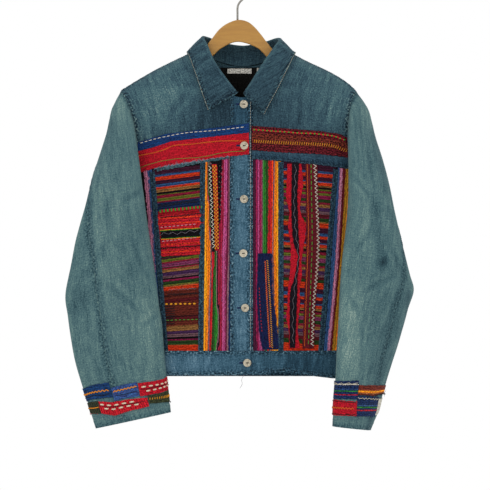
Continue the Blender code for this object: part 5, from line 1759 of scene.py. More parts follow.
def back_panel():
    """The plain back below its yoke, cut in one piece."""
    top = back_seam_level() - SEAM_GAP
    edges = {side: side_edge(side, -YOKE_BACK_END, -1) for side in (RIGHT, LEFT)}
    for side in (RIGHT, LEFT):
        edges[side][-1, 1] -= SEAM_GAP

    def place(s, t):
        outer = np.where((s < 0.5)[..., None], listed(edges[RIGHT], t), listed(edges[LEFT], t))
        middle = joined(np.where(s < 0.5, -2.0, 2.0), HEM_TOP + (top - HEM_TOP) * t)
        return middle + (outer - middle) * np.abs(2 * s - 1)[..., None]

    laps = {"left": SIDE_LAP, "right": SIDE_LAP, "bottom": (3.0, 0.3, 0.4), "top": SOFT_LAP}
    cloth("back_denim", "back_panel", "denim", on_body(place, BACK), DENIM, "denim body", 4.4, laps,
          rows=dict.fromkeys(("left", "right"), (1.8, 6.5)), worn=worn_body, rests_on="yoke_back_denim")


def yoke_level(side, across):
    """The level of the yoke seam at a point across the front."""
    (x0, z0), (x1, z1) = YOKE_SEAM[side]
    return z0 + (z1 - z0) * (across - x0) / (x1 - x0)


def panel_line(side, line, share):
    """Places on a line of a woven panel, from the waistband up."""
    top = yoke_level(side, line[0]) - SEAM_GAP
    level = HEM_TOP + (top - HEM_TOP) * share
    across = line[1] + (line[0] - line[1]) * share
    return front_places(joined(across, level))


def outer_line_e(share):
    """The outer edge of panel E, which runs up into the armhole at its end."""
    first = armhole(LEFT, YOKE_FRONT_END + ARMHOLE_STEP)
    knee = (float(body_at(*first)[0]), first[1])
    bend = PANEL_E_ROWS / (PANEL_E_ROWS + 1)
    low = front_places(listed(((PANEL_E_OUTER_FOOT, HEM_TOP), knee), share / bend))
    top = armhole(LEFT, YOKE_FRONT_END) - np.array([0, SEAM_GAP])
    high = listed((first, top), (share - bend) / (1 - bend))
    return np.where((share <= bend)[..., None], low, high)


def panel_lines(name):
    """The side of a woven panel and the lines down it; panel E has one more, its outer edge."""
    return (LEFT, PANEL_E) if name == "panel_e" else PANELS[name]


def panel_place(name, line, share):
    """Places on a panel at line numbers, which may lie between two lines, and shares of its height."""
    side, table = panel_lines(name)
    lines = [panel_line(side, one, share) for one in table]
    if name == "panel_e":
        lines.append(outer_line_e(share))
    lines = np.stack(lines)
    k = np.clip((line + 1e-6).astype(int), 0, len(lines) - 2)
    part = (line - k)[..., None]
    low = np.take_along_axis(lines, k[None, ..., None], axis=0)[0]
    high = np.take_along_axis(lines, (k + 1)[None, ..., None], axis=0)[0]
    return low * (1 - part) + high * part


def cross_chart(name):
    """Where points lie in the cross stripes: distance below their top, allowing for their slope."""
    rows, middle = CROSS_SLOPE[name]
    levels, slopes = zip(*rows)

    def chart(points):
        across, level = seen(points)
        slope = np.interp(level, levels, slopes)
        return joined(across + CHART_SHIFT, CROSS_TOP - level + slope * (across - middle))

    return chart


def long_chart(name):
    """Where points lie in the long stripes, in steps of one bundle for each stripe."""
    yarns, rows = LONG_STRIPES[name]
    table = np.array(rows, float)

    def chart(points):
        across, level = seen(points)
        edges = smooth(table[:, 0], table[:, 1:], level)
        place = np.zeros(across.shape)
        for k in range(len(yarns)):
            width = np.maximum(edges[..., k + 1] - edges[..., k], 0.05)
            place += np.clip((across - edges[..., k]) / width, 0.0, 1.0)
        return joined(place * BUNDLE, level + CHART_RISE)

    return chart


def banded_chart(name):
    """Distances across a piece and up it, one of them stretched so that its bands fill it."""
    total = sum(width for _, width in BANDED[name]) * BUNDLE

    def chart(points):
        left = margins_of(points)["left"]
        if name == BANDED_SIDEWAYS:
            return joined(np.linspace(0, total, points.shape[1]), left)
        return joined(left, np.linspace(0, total, len(points))[:, None])

    return chart


def chart_of(name):
    """The chart in which a striped cloth has its bands, or none for a plain one."""
    for names, chart in ((BANDED, banded_chart), (CROSS_STRIPES, cross_chart), (LONG_STRIPES, long_chart)):
        if name in names:
            return chart(name)
    return None


def woven_panels():
    """The striped woven panels that fill the fronts."""
    for name in [*PANELS, "panel_e"]:
        last = len(PANEL_E) if name == "panel_e" else len(PANELS[name][1]) - 1

        def place(s, t, name=name, last=last):
            return panel_place(name, s * last, t)

        cloth(f"{name}_wool", name, "woven_stripe", on_body(place), WOVEN, name, 2.1,
              laps={"bottom": (1.0, 0.0, 0.2)}, rests_on="yoke_right_denim")


def side_fronts():
    """The denim sides between the woven panels and the side seams."""
    right_edge = side_edge(RIGHT, YOKE_FRONT_END, 1)
    right_edge[-1, 1] -= SEAM_GAP
    line = [across - HALF_GAP for across in SIDE_SEAM_RIGHT]

    def right(s, t):
        return listed(right_edge, t) * (1 - s)[..., None] + panel_line(RIGHT, line, t) * s[..., None]

    cloth("side_right_denim", "side_front_right", "denim", on_body(right), DENIM, "denim body",
          laps={"right": PANEL_LAP, "left": UNDER_LAP}, worn=worn_body, rests_on="yoke_right_denim")
    left_edge = side_edge(LEFT, YOKE_FRONT_END + ARMHOLE_STEP, 1)
    left_edge[-1] = armhole(LEFT, YOKE_FRONT_END + ARMHOLE_STEP + 3)

    def left(s, t):
        share = np.minimum(t * PANEL_E_ROWS, PANEL_E_ROWS - 0.2) / (PANEL_E_ROWS + 1)
        inner = outer_line_e(share)
        across = body_at(inner[..., 0], inner[..., 1])[..., 0] + SEAM_GAP
        inner = front_places(joined(across, inner[..., 1]))
        return inner * (1 - s)[..., None] + listed(left_edge, t) * s[..., None]

    cloth("side_left_denim", "side_front_left", "denim", on_body(left), DENIM, "denim body",
          laps={"left": PANEL_LAP, "right": UNDER_LAP}, worn=worn_body, rests_on="yoke_left_denim")


def laid_on():
    """Patches, braids and strips laid on the woven panels, with their wavy cut edges."""
    for name, (slot, finish_name, lift, edges) in LAID_ON.items():
        table = np.array(edges, float)

        def at(s, t, height, table=table, lift=lift, name=name):
            level = table[0, 0] + (table[-1, 0] - table[0, 0]) * t
            ends = smooth(table[:, 0], table[:, 1:], level)
            ragged = 0.45 * uneven(level, 1.9, 1.5, 7.3) * np.abs(2 * s - 1) ** 6
            across = ends[..., 0] + (ends[..., 1] - ends[..., 0]) * s + ragged
            if name == "patch_red_a":
                level = level + PATCH_SLOPE * (across - PATCH_MIDDLE)
            return front_point(across, level, height + lift + TRIM)

        cloth(f"{name}_wool", name, slot, at, TRIM, finish_name, 1.6, held="laid",
              rests_on=f"panel_{name[-1]}_wool")


def straps():
    """Narrow denim straps over the seams between the panels, stitched along both edges."""
    for name, (left, left_line, right, right_line, top) in STRAPS.items():
        ends = ((left, left_line), (left, len(PANELS[left][1]) - 1), (right, 0), (right, right_line))

        def place(s, t, ends=ends, top=top):
            first, before, after, final = (panel_place(panel, np.full(s.shape, float(line)), t * top)
                                           for panel, line in ends)
            middle = (before + after) / 2
            low = first + (middle - first) * np.minimum(2 * s, 1.0)[..., None]
            return low + (final - middle) * np.maximum(2 * s - 1, 0.0)[..., None]

        cloth(f"{name}_denim", name, "denim_dark", on_body(place, FRONT, SEAM_GAP + WOVEN), WOVEN,
              "denim strap", 1.5, laps={"left": STRAP_LAP, "right": STRAP_LAP},
              rows={"left": (2.2,), "right": (2.2,)}, held="laid", rests_on=f"{left}_wool")


def along_line(points, share):
    """Points at shares of the way across a line through points."""
    points = np.array(points, float)
    across = points[0, 0] + (points[-1, 0] - points[0, 0]) * share
    order = np.argsort(points[:, 0])
    return joined(across, np.interp(across, points[order, 0], points[order, 1]))


def over_placket(across):
    """Height of the right chest bands, which step up where they cross the placket."""
    step = np.clip((across - STEP_FROM) / STEP_WIDTH, 0.0, 1.0)
    return TRIM + BAND_LIFT + (BAND_OVER_PLACKET - BAND_LIFT) * step


def chest_bands():
    """Woven bands across the chest, the frayed strip under them and the denim strap on the left yoke seam."""
    on_yoke = BAND_LIFT + WOVEN
    bands = (
        ("band_blue_right", BAND_BLUE, over_placket, TRIM, "woven_blue", "band blue", None, None),
        ("band_red_right", BAND_RED, over_placket, TRIM, "woven_red", "wool red", None, None),
        ("band_maroon_left", BAND_MAROON, on_yoke, WOVEN, "woven_maroon", "band maroon", None, None),
        ("yoke_strap_left", YOKE_STRAP, on_yoke, WOVEN, "denim_dark", "denim strap",
         {"bottom": (1.0, -0.2, 0.15)}, {"bottom": (2.0,), "top": (2.5,)}),
    )
    for name, (low, high), lift, wall, slot, finish_name, laps, rows in bands:
        def place(s, t, low=low, high=high):
            lower, upper = along_line(low, s), along_line(high, s)
            ragged = 0.5 * uneven(lower[..., 0], 1.7, 1.4, 6.1)
            lower[..., 1] += ragged
            upper[..., 1] += 0.6 * ragged
            t = t[..., None]
            return front_places(lower) * (1 - t) + front_places(upper) * t

        under = "yoke_right_denim" if name.endswith("right") else "yoke_left_denim"
        cloth(f"{name}_wool", name, slot, on_body(place, FRONT, lift), wall, finish_name, 2.0, laps, rows,
              held="laid", rests_on=under)
    red_edge = [(across, level - 0.5) for across, level in BAND_RED[0]]

    def strip(s, t):
        first, last = FRAYED_SHARES
        across, top = np.moveaxis(along_line(red_edge, first + (last - first) * s), -1, 0)
        drop = FRAYED_DROP + 0.8 * uneven(across, 2.1, 1.7, 5.3) - 2.5 * s
        return front_places(joined(across, top - drop * (1 - t)))

    cloth("strip_frayed_denim", None, "denim", on_body(strip, FRONT, FRAYED), FRAYED, "denim sleeve", 2.0,
          {"bottom": (1.0, 0.3, 0.3)}, held="laid", rests_on="yoke_right_denim")


def plackets():
    """The button band on the right front and the stand beneath it on the left front."""
    bands = (
        ("placket_right", PLACKET_EDGE + HALF_GAP, FRONT_EDGE, PLACKET_TOP, PLACKET_LIFT,
         {"left": (1.6, 6.0), "right": (3.4,)}),
        ("placket_left", UNDER_EDGE, LEFT_EDGE - HALF_GAP, STAND_TOP, STAND_LIFT, None),
    )
    for name, left, right, tops, lift, rows in bands:
        def place(s, t, left=left, right=right, tops=tops):
            top = listed([[level] for level in tops], s)[..., 0]
            return front_places(joined(left + (right - left) * s, HEM_TOP + (top - HEM_TOP) * t))

        cloth(f"{name}_denim", name, "denim", on_body(place, FRONT, lift), DOUBLED, "denim waist", 2.0,
              {"left": (5.0, 0.3, 0.2), "right": (4.0, 0.35, 0.2)}, rows, worn=worn_body,
              rests_on="yoke_right_denim")
    PALE_STITCHED.extend(stitches_on(*edge_line("placket_right_denim", "right", 0.9), 5.0, 0.4))


def waistband():
    """The waistband in three pieces, buttoned at the front, its lower edge slightly wavy."""
    top = HEM_TOP - SEAM_GAP
    edge = np.array(WAISTBAND_EDGE, float).T

    def tuck(across):
        return WAISTBAND_LIFT - TUCK * np.clip((TUCK_FROM - across) / TUCK_WIDTH, 0.0, 1.0)

    def front(first, last):
        def place(s, t):
            turn = turn_of(first + (last - first) * s, HEM_TOP + 0 * s)
            low = np.interp(body_at(turn, HEM_TOP + 0 * s)[..., 0], *edge)
            return joined(turn, low + (top - low) * t)

        return place

    def back(s, t):
        turn = -1 - 2 * s
        return joined(np.where(turn >= -2, turn, turn + 4), HEM + (top - HEM) * t)

    pieces = (
        ("right", on_body(front(-BEYOND_SIDE, FRONT_EDGE), FRONT, WAISTBAND_LIFT), 2.6, "panel_a_wool"),
        ("left", on_body(front(UNDER_EDGE, BEYOND_SIDE), FRONT, tuck), 2.6, "panel_a_wool"),
        ("back", on_body(back, BACK, WAISTBAND_LIFT), 3.2, "back_denim"),
    )
    for word, at, size, above in pieces:
        cloth(f"waistband_{word}_denim", f"waistband_{word}", "denim_dark", at, DOUBLED, "denim waist", size,
              {"bottom": WAIST_LAP, "top": WAIST_LAP}, {"bottom": (2.0, 6.0), "top": (2.0, 6.0)},
              worn=worn_body, rests_on=above)


def collar():
    """The collar: a stand that rises from the neck seam, a roll and a leaf that falls outside it."""
    stations = []
    for (across, level, face), roll, edge in COLLAR:
        seam = body_point(turn_of(across, level, face), level, -DENIM - SEAM_GAP)
        stations.append(np.concatenate([seam, np.array(roll) + TO_CENTRE, np.array(edge) + TO_CENTRE]))
    numbers = np.arange(len(stations))

    def clear_of_body(point, least):
        level = point[..., 2]
        face = np.where(point[..., 1] < body_size(level)[..., 4], FRONT, BACK)
        turn = turn_of(point[..., 0] - CENTRE_X, level, face)
        under = body_point(turn, level)
        way = unit(body_point(turn, level, 1.0) - under)
        short = np.maximum(0.0, least - ((point - under) * way).sum(axis=-1))
        return point + way * short[..., None]

    def at(s, t, lift):
        seam, roll, edge = np.split(smooth(numbers, stations, s * numbers[-1]), 3, axis=-1)
        depth = -np.asarray(lift, float)[..., None]
        up = unit(roll * 2 - seam - edge)
        out = unit((edge - seam) - up * ((edge - seam) * up).sum(axis=-1, keepdims=True))
        radius = COLLAR_ROLL - depth
        middle = roll - (out + up) * COLLAR_ROLL
        rise = np.clip(t / STAND_SHARE, 0, 1)[..., None]
        stand = (seam + out * depth) * (1 - rise) + (middle - out * radius) * rise
        a = math.pi * np.clip((t - STAND_SHARE) / (ROLL_SHARE - STAND_SHARE), 0, 1)[..., None]
        bend = middle - out * radius * np.cos(a) + up * radius * np.sin(a)
        share = np.clip((t - ROLL_SHARE) / (1 - ROLL_SHARE), 0, 1)[..., None]
        fall = (middle + out * COLLAR_ROLL) * (1 - share) + edge * share
        fall = clear_of_body(fall + out * COLLAR_CROWN * np.sin(math.pi * share), LEAF_LIFT) - out * depth
        first = np.where((t <= STAND_SHARE)[..., None], stand, bend)
        return np.where((t < ROLL_SHARE)[..., None], first, fall)

    def even(s, t, lift):
        return at(s, np.interp(t, COLLAR_ROWS, (0, STAND_SHARE, ROLL_SHARE, 1)), lift)

    laps = {"top": (9.0, 0.35, 0.3), "left": COLLAR_LAP, "right": COLLAR_LAP}
    rows = {"top": (2.0, 9.5), "left": (2.0, 8.5), "right": (2.0, 8.5)}
    cloth("collar_denim", "collar", "denim", even, COLLAR_WALL, "denim body", 2.5, laps, rows, worn=worn_body,
          held="folded", rests_on="yoke_back_denim")
    PALE_STITCHED.extend(stitches_on(*edge_line("collar_denim", "top", 0.7), 3.2, 0.8))


def neck_inside():
    """The black facing inside the back neck, and its two bare labels."""

    def band(left, right, top, bottom):
        def place(s, t):
            level = bottom + (top - bottom) * t
            return joined(turn_of(left + (right - left) * s, level, BACK), level)

        return place

    inside = -DENIM - FACING_GAP
    cloth("neck_facing", "lining_back", "lining", on_body(band(*FACING), BACK, inside), TRIM, "lining",
          4.0, rests_on="yoke_back_denim")
    for name, size in LABELS.items():
        at = on_body(band(*size), BACK, inside - TRIM - LABEL_GAP)
        cloth(f"{name}_satin", name, "label", at, LABEL, "label", 1.5, held="laid", rests_on="neck_facing")


def sleeves():
    """Each sleeve in two pieces, the upper one over the front and the under one round the outside."""
    for side, word in SIDES:
        def half(start, end, turned, side=side):
            def at(s, t, lift):
                ring = LAST_RING * (1 - t)
                first = seam_angle(side, start, ring, HALF_GAP)
                last = turned + seam_angle(side, end, ring, -HALF_GAP)
                return sleeve_point(side, first + (last - first) * s, ring, lift)

            return at

        halves = (
            ("upper", half(0, 1, 0), 3.8, SLEEVE_LAP, {"left": (1.6, 6.2), "right": (1.6, 6.2)}, "yoke"),
            ("under", half(1, 0, 360), 3.6, (2.0, 0.0, 0.3), {}, "sleeve"),
        )
        for part, at, size, lap, rows, over in halves:
            laps = {"left": lap, "right": lap, "bottom": SLEEVE_HEM, "top": SOFT_LAP}
            under = f"yoke_{word}_denim" if over == "yoke" else f"sleeve_{word}_upper_denim"
            cloth(f"sleeve_{word}_{part}_denim", f"sleeve_{word}_{part}", "denim", at, DENIM, "denim sleeve",
                  size, laps, {**rows, "bottom": (13.0,)}, worn_sleeve(side), rests_on=under)


def ring_over_hem(side, height):
    """The ring of the sleeve at heights over its hem."""
    heights = distances(RINGS[side].mean(axis=1)[::-1])
    return LAST_RING - np.interp(height, heights, np.arange(len(heights)))


def cuff_place(side, number):
    """A cuff patch as a function of shares and lift."""
    angles, lows, highs = np.array(CUFF_PATCHES[side][number - 1][0], float).T

    def at(s, t, lift):
        angle = angles[0] + (angles[-1] - angles[0]) * s
        bottom, top = np.interp(angle, angles, lows), np.interp(angle, angles, highs)
        ring = ring_over_hem(side, bottom + (top - bottom) * t)
        return sleeve_point(side, angle, ring, lift + PATCH_GAP + TRIM)

    return at


def cuff_patches():
    """Woven patches sewn round both sleeve ends."""
    for side, word in SIDES:
        for number, (_, slot, finish_name) in enumerate(CUFF_PATCHES[side], start=1):
            def ragged(s, t, lift, at=cuff_place(side, number), number=number):
                rag = 0.018 * np.sin(s * 61 + number) * np.sin(s * 23 + 2 * number)
                beyond = np.where(t > 0.5, rag, -rag) * np.abs(2 * t - 1) ** 4
                return at(s, t * (1 - np.abs(rag)) + beyond, lift)

            cloth(f"cuff_{word}_{number}_wool", f"cuff_{word}_{number}", slot, ragged, TRIM, finish_name, 2.2,
                  held="laid", rests_on=f"sleeve_{word}_upper_denim")


# Embroidery and hand stitching on the patches

# Heights over the body at which stitches lie on the panels, bands, patches and strips
ON_PANEL = 0.3
ON_BAND = TRIM + BAND_LIFT + 0.35
ON_MAROON = BAND_LIFT + WOVEN + 0.35
ON_PATCH = 0.3 + TRIM + 0.35
ON_BLACK = 1.6 + TRIM + 0.25
ON_CUFF = 0.35


def band_point(across, level, height):
    """Points at heights over the front, raised further where the bands cross the placket."""
    return front_point(across, level, height + over_placket(across) - (TRIM + BAND_LIFT))


def stitched(*rows, onto=front_point):
    """Runs of stitches in rows: the kind of stitch, the line, its measures and its height."""
    runs = []
    for kind, line, measures, height in rows:
        runs += raised(kind(drawn(line), *measures), height, onto)
    return runs


def band_embroidery():
    """The running stitches, lines, dots and ladders on the chest bands."""
    blue, red, maroon = "band_blue_right_wool", "band_red_right_wool", "band_maroon_left_wool"
    white = stitched((dashes, RUN_WHITE, (6.0, 2.6), ON_BAND), onto=band_point)
    sewing("run_white_band", white, 0.75, "thread white", "label", blue, tips=0.6)
    orange = stitched((zigzag, RUN_ORANGE, (3.4, 0.8, 0.3), ON_BAND), onto=band_point)
    sewing("line_orange_band", orange, 0.6, "thread orange", "braid_yellow", red)
    green = stitched((zigzag, RUN_GREEN, (6.5, 0.15, 0.2), ON_BAND), onto=band_point)
    sewing("line_green_band", green, 0.6, "thread olive", "braid_yellow", red)
    line = stitched((zigzag, DOTS_MAROON, (8.0, 0.4, 0.3), ON_MAROON))
    sewing("line_red_maroon", line, 1.35, "thread red", "woven_red", maroon)
    dots = stitched((dashes, DOTS_MAROON, (3.4, 4.6), ON_MAROON + 0.8))
    sewing("dots_green_maroon", dots, 1.4, "thread green", "braid_yellow", maroon, tips=0.6)
    ladder = stitched((ticks, LADDER_MAROON, (4.2, 2.9, 0.5), ON_MAROON))
    sewing("ladder_yellow_maroon", ladder, 0.55, "thread yellow", "braid_yellow", maroon)


def strip_embroidery():
    """The zigzags, lines, dots, braid and chains down the strips and the navy patch."""
    strip, navy = "strip_maroon_d_wool", "patch_navy_c_wool"
    white = stitched((zigzag, ZIGZAG_D, (7.4, 3.0, 0.4), ON_PATCH))
    sewing("zigzag_white_d", white, 0.6, "thread white", "label", strip)
    orange = stitched((zigzag, LINE_D, (5.0, 0.4, 0.3), ON_PATCH))
    sewing("line_orange_d", orange, 0.5, "thread orange", "braid_yellow", strip)
    green = stitched((dashes, DOTS_D, (7.0, 3.2), ON_PATCH))
    sewing("dots_green_d", green, 0.75, "thread green", "braid_yellow", strip, tips=0.6)
    grey = stitched((zigzag, WAVE_D, (23.0, 2.0, 0.5), ON_BLACK))
    sewing("wave_grey_d", grey, 0.3, "thread grey", "label", "strip_black_d_wool")
    white = stitched((zigzag, ZIGZAG_B, (8.0, 2.6, 0.4), ON_PATCH))
    sewing("zigzag_white_b", white, 0.6, "thread white", "label", "braid_zigzag_b_wool")
    yellow = []
    for shift, start in ((-2.7, 0), (0.0, 3), (2.7, 0)):
        yellow += raised(dashes(drawn(CHEVRON_B)[start:], 3.2, 3.4, shift), ON_PATCH)
    sewing("braid_yellow_b", yellow, 1.25, "thread yellow", "braid_yellow", "braid_chevron_b_wool", tips=0.7)
    chain = stitched((ticks, CHAIN_C, (4.0, 1.5, 1.3), ON_PATCH))
    sewing("chain_yellow_c", chain, 0.85, "thread yellow", "braid_yellow", navy, tips=0.6)
    chain = stitched((ticks, CHAIN_C_INNER, (4.0, 1.5, -1.3), ON_PATCH))
    sewing("chain_orange_c", chain, 0.75, "thread amber", "braid_yellow", navy, tips=0.6)
    red = stitched(
        (zigzag, CHAIN_C_INNER, (3.6, 0.9, 0.2), ON_PATCH - 0.1),
        (dashes, DOTS_C, (2.6, 3.4), ON_PATCH),
    )
    sewing("dots_red_c", red, 0.6, "thread red", "woven_red", navy)


def panel_embroidery():
    """The blocks, zigzags, dashes and hatching on panels A and B and on the red patch."""
    panel, patch_a = "panel_a_wool", "patch_red_a_wool"
    blocks = raised(ticks(drawn(((-155, -437), (-117, -433), (-76, -429))), 3.5, 2.4), 0.45)
    sewing("blocks_green_a", blocks[::2], 1.5, "thread green", "braid_yellow", panel)
    sewing("blocks_red_a", blocks[1::2], 1.5, "thread red", "woven_red", panel)
    dark = stitched(
        (zigzag, ((-157, -427), (-117, -422), (-80, -418)), (7.0, 2.2, 0.8), 0.4),
        (zigzag, ((-154, -449), (-76, -441)), (5.0, 0.8, 0.5), ON_PATCH),
        (dashes, ((-152, -507), (-78, -500)), (2.0, 1.6), ON_PATCH),
        (zigzag, ((-140, -591), (-84, -589)), (5.0, 1.3, 0.5), ON_PANEL),
    )
    sewing("zigzag_black_a", dark, 0.7, "thread black", "braid_black", panel)
    white = stitched(
        (dashes, ((-153, -467), (-80, -460)), (4.6, 3.0), ON_PATCH),
        (dashes, ((-150, -493), (-80, -485)), (5.0, 2.4), ON_PATCH),
    )
    sewing("dashes_white_a", white, 0.9, "thread pink", "label", patch_a, tips=0.6)
    grey = stitched(
        (zigzag, ((-154, -480), (-76, -473)), (16.0, 2.2, 1.0), ON_PATCH),
        (zigzag, ((-138, -582), (-86, -580)), (6.0, 1.3, 0.6), ON_PANEL),
    )
    sewing("zigzag_grey_a", grey, 0.3, "thread grey", "label", patch_a)
    yellow = stitched((dashes, ((-144, -609), (-85, -608)), (4.6, 4.0), 0.6))
    sewing("dashes_yellow_a", yellow, 1.9, "thread yellow", "braid_yellow", panel, tips=0.6)
    rows = [(zigzag, ((-144, level), (-125, level + 1.5)), (3.2, 1.1, 0.3), ON_PANEL)
            for level in np.arange(-646.0, -609.0, 4.6)]
    sewing("hatch_black_a", stitched(*rows), 0.6, "thread black", "braid_black", panel)
    green = stitched((dashes, ((-142, -639), (-80, -637)), (4.8, 2.8), ON_PANEL))
    sewing("dashes_green_a", green, 0.8, "thread green", "braid_yellow", panel, tips=0.6)
    flecks = stitched(
        (dashes, ((-39, -356), (-41, -425), (-43, -458)), (3.0, 5.5), 0.25),
        (dashes, ((-43, -352), (-45, -420)), (2.0, 8.0), 0.25),
        (dashes, ((-188, -380), (-184, -430)), (1.6, 6.0), 0.25),
    )
    sewing("flecks_white_b", flecks, 0.5, "thread grey", "label", "panel_b_wool", tips=0.5)


# Stitched lines round the sleeve ends: name, radius, thread, slot, patch that carries them, tips, and their
# rows: (side, patch number, share from and to, height, kind, spacing, reach)
CUFF_LINES = (
    ("cuff_right_orange", 1.05, "thread amber", "braid_yellow", "cuff_right_1_wool", 1.0, (
        (RIGHT, 1, 0.02, 0.98, 0.52, "zigzag", 0.035, 0.05),
        (RIGHT, 2, 0.05, 0.95, 0.7, "zigzag", 0.12, 0.04),
        (RIGHT, 4, 0.3, 0.66, 0.5, "line", 0.05, 0.03),
    )),
    ("cuff_dark_lines", 0.6, "thread black", "braid_black", "cuff_right_3_wool", 1.0, (
        (RIGHT, 1, 0.02, 0.98, 0.25, "line", 0.05, 0.03),
        (RIGHT, 2, 0.05, 0.95, 0.35, "line", 0.1, 0.03),
        (RIGHT, 3, 0.02, 0.98, 0.5, "line", 0.05, 0.02),
        (RIGHT, 4, 0.68, 0.98, 0.62, "line", 0.05, 0.02),
        (LEFT, 5, 0.0, 1.0, 0.08, "line", 0.05, 0.02),
        (LEFT, 5, 0.0, 1.0, 0.93, "line", 0.05, 0.02),
    )),
    ("cuff_right_dashes", 1.75, "thread cream", "label", "cuff_right_3_wool", 0.7, (
        (RIGHT, 3, 0.03, 0.98, 0.66, "dash", 0.082, 0.0),
        (RIGHT, 3, 0.071, 0.98, 0.34, "dash", 0.082, 0.0),
        (RIGHT, 4, 0.68, 0.98, 0.76, "dash", 0.05, 0.0),
        (RIGHT, 4, 0.705, 0.98, 0.46, "dash", 0.05, 0.0),
    )),
    ("cuff_right_ladder", 0.7, "thread yellow", "braid_yellow", "cuff_right_5_wool", 1.0, (
        (RIGHT, 5, 0.02, 0.98, 0.55, "tick", 0.034, 0.12),
    )),
    ("cuff_left_zigzag", 0.7, "thread orange", "braid_yellow", "cuff_left_5_wool", 1.0, (
        (LEFT, 5, 0.05, 0.95, 0.5, "zigzag", 0.06, 0.06),
    )),
    ("cuff_left_white", 0.5, "thread cream", "label", "cuff_left_2_wool", 1.0, (
        (LEFT, 2, 0.02, 1.0, 0.86, "line", 0.05, 0.04),
        (LEFT, 4, 0.0, 1.0, 0.86, "line", 0.06, 0.05),
    )),
)


def cuff_runs(side, number, first, last, height, kind, step, reach):
    """Runs of stitches across a cuff patch, all their measures in shares of the patch."""
    count = int((last - first) / step)
    runs = []
    if kind == "zigzag":
        far = np.linspace(first, last, count * 2 + 1)
        line = joined(far, height + np.where(np.arange(len(far)) % 2, reach, -reach))
        runs.append(read_line(line, np.linspace(0, distances(line)[-1], count * 8)))
    if kind == "dash":
        for start in np.arange(first, last - step, step):
            middle, half = start + step * 0.3, step * 0.28
            runs.append(np.array([[middle - half, height], [middle, height], [middle + half, height]]))
    if kind == "tick":
        for place in np.arange(first, last, step):
            end = [place + step * 0.2, height + reach]
            runs.append(np.array([[place, height - reach], [place, height], end]))
    if kind == "line":
        far = np.linspace(first, last, max(6, count))
        runs.append(joined(far, height + reach * np.sin(far * 40)))
    return raised(runs, ON_CUFF, cuff_place(side, number))


def cuff_embroidery():
    """The stitched lines on the patches round the sleeve ends."""
    for name, radius, thread_name, slot, on, tips, rows in CUFF_LINES:
        runs = [run for row in rows for run in cuff_runs(*row)]
        sewing(name, runs, radius, thread_name, slot, on, tips=tips)


# Loose threads: name, radius, thread, slot, sheet that carries them, and their rows: (sheet, edge, spacing,
# longest, seed, share of the edge from and to, spread)
FRAYS = (
    ("fray_navy", 0.3, "thread navy", "woven_blue", "patch_navy_c_wool", (
        ("patch_navy_c_wool", "right", 1.6, 8.0, 3, 0, 1, 0.6),
        ("patch_navy_c_wool", "left", 4.0, 3.0, 4, 0, 1, 0.6),
        ("band_blue_right_wool", "top", 3.6, 1.8, 5, 0, 1, 0.6),
        ("cuff_left_2_wool", "top", 3.0, 3.5, 6, 0, 1, 0.6),
        ("cuff_left_4_wool", "bottom", 1.5, 6.5, 7, 0, 1, 0.6),
        ("cuff_right_1_wool", "top", 3.0, 3.0, 8, 0, 1, 0.6),
    )),
    ("fray_red", 0.3, "thread red", "woven_red", "band_red_right_wool", (
        ("band_red_right_wool", "bottom", 2.6, 2.0, 9, 0, 1, 0.6),
        ("strip_red_d_wool", "left", 6.0, 1.8, 10, 0, 1, 0.6),
        ("strip_red_d_wool", "right", 6.0, 1.8, 11, 0, 1, 0.6),
        ("cuff_right_4_wool", "bottom", 2.2, 3.0, 12, 0, 1, 0.6),
        ("cuff_left_5_wool", "left", 2.4, 3.0, 13, 0, 1, 0.6),
        ("patch_red_a_wool", "left", 3.0, 2.0, 14, 0, 1, 0.6),
    )),
    ("fray_denim", 0.28, "thread fray", "denim", "yoke_right_denim", (
        ("band_red_right_wool", "bottom", 0.7, 6.5, 15, 0.17, 0.60, 0.9),
        ("band_red_right_wool", "bottom", 0.7, 4.0, 16, 0.60, 0.82, 0.9),
    )),
    ("fray_dark", 0.3, "thread black", "braid_black", "strip_maroon_d_wool", (
        ("strip_maroon_d_wool", "bottom", 2.0, 2.5, 17, 0, 1, 0.6),
        ("cuff_left_1_wool", "bottom", 1.5, 6.0, 18, 0, 1, 0.6),
        ("cuff_right_5_wool", "bottom", 2.4, 3.0, 19, 0, 1, 0.6),
    )),
)


def strands(name, edge, spacing, longest, seed, first, last, spread):
    """Loose threads that stand out from a cut edge of a piece."""
    random = np.random.default_rng(seed)
    line, out = edge_line(name, edge, 0.3, (first, last))
    inside, _ = edge_line(name, edge, 2.5, (first, last))
    total = distances(line)[-1]
    count = int(total / spacing)
    far = np.sort(random.uniform(0, total, count))
    start, ways = read_line(line, far), unit(read_line(np.concatenate([line, out], axis=1), far)[:, 3:])
    outward = unit(start - read_line(np.concatenate([line, inside], axis=1), far)[:, 3:])
    along = unit(np.cross(outward, ways))
    runs = []
    for k in range(count):
        length = longest * random.uniform(0.35, 1.0)
        lean, curl = random.normal(0, spread), random.normal(0, 0.5)
        way = unit(outward[k] + along[k] * lean)
        middle = start[k] + way * length * 0.5 + ways[k] * 0.25
        end = start[k] + way * length + along[k] * curl * length * 0.5 + ways[k] * 0.15
        runs.append(np.array([start[k] - way * 0.8 - ways[k] * 0.3, start[k], middle, end]))
    return runs


def frays():
    """Loose threads along the cut edges of the patches and bands."""
    for name, radius, thread_name, slot, on, rows in FRAYS:
        runs = [run for row in rows for run in strands(*row)]
        sewing(name, runs, radius, thread_name, slot, on, sides=0, tips=0.4)


def drill_data(way):
    """The tool that drills a button's holes, turned the same way as the button."""
    drill = bmesh.new()
    bmesh.ops.create_cone(drill, cap_ends=True, segments=20, radius1=HOLE_RADIUS * MM,
                          radius2=HOLE_RADIUS * MM, depth=12 * MM)
    bmesh.ops.rotate(drill, verts=drill.verts[:], cent=(0, 0, 0), matrix=way)
    return mesh_data("drill", drill)


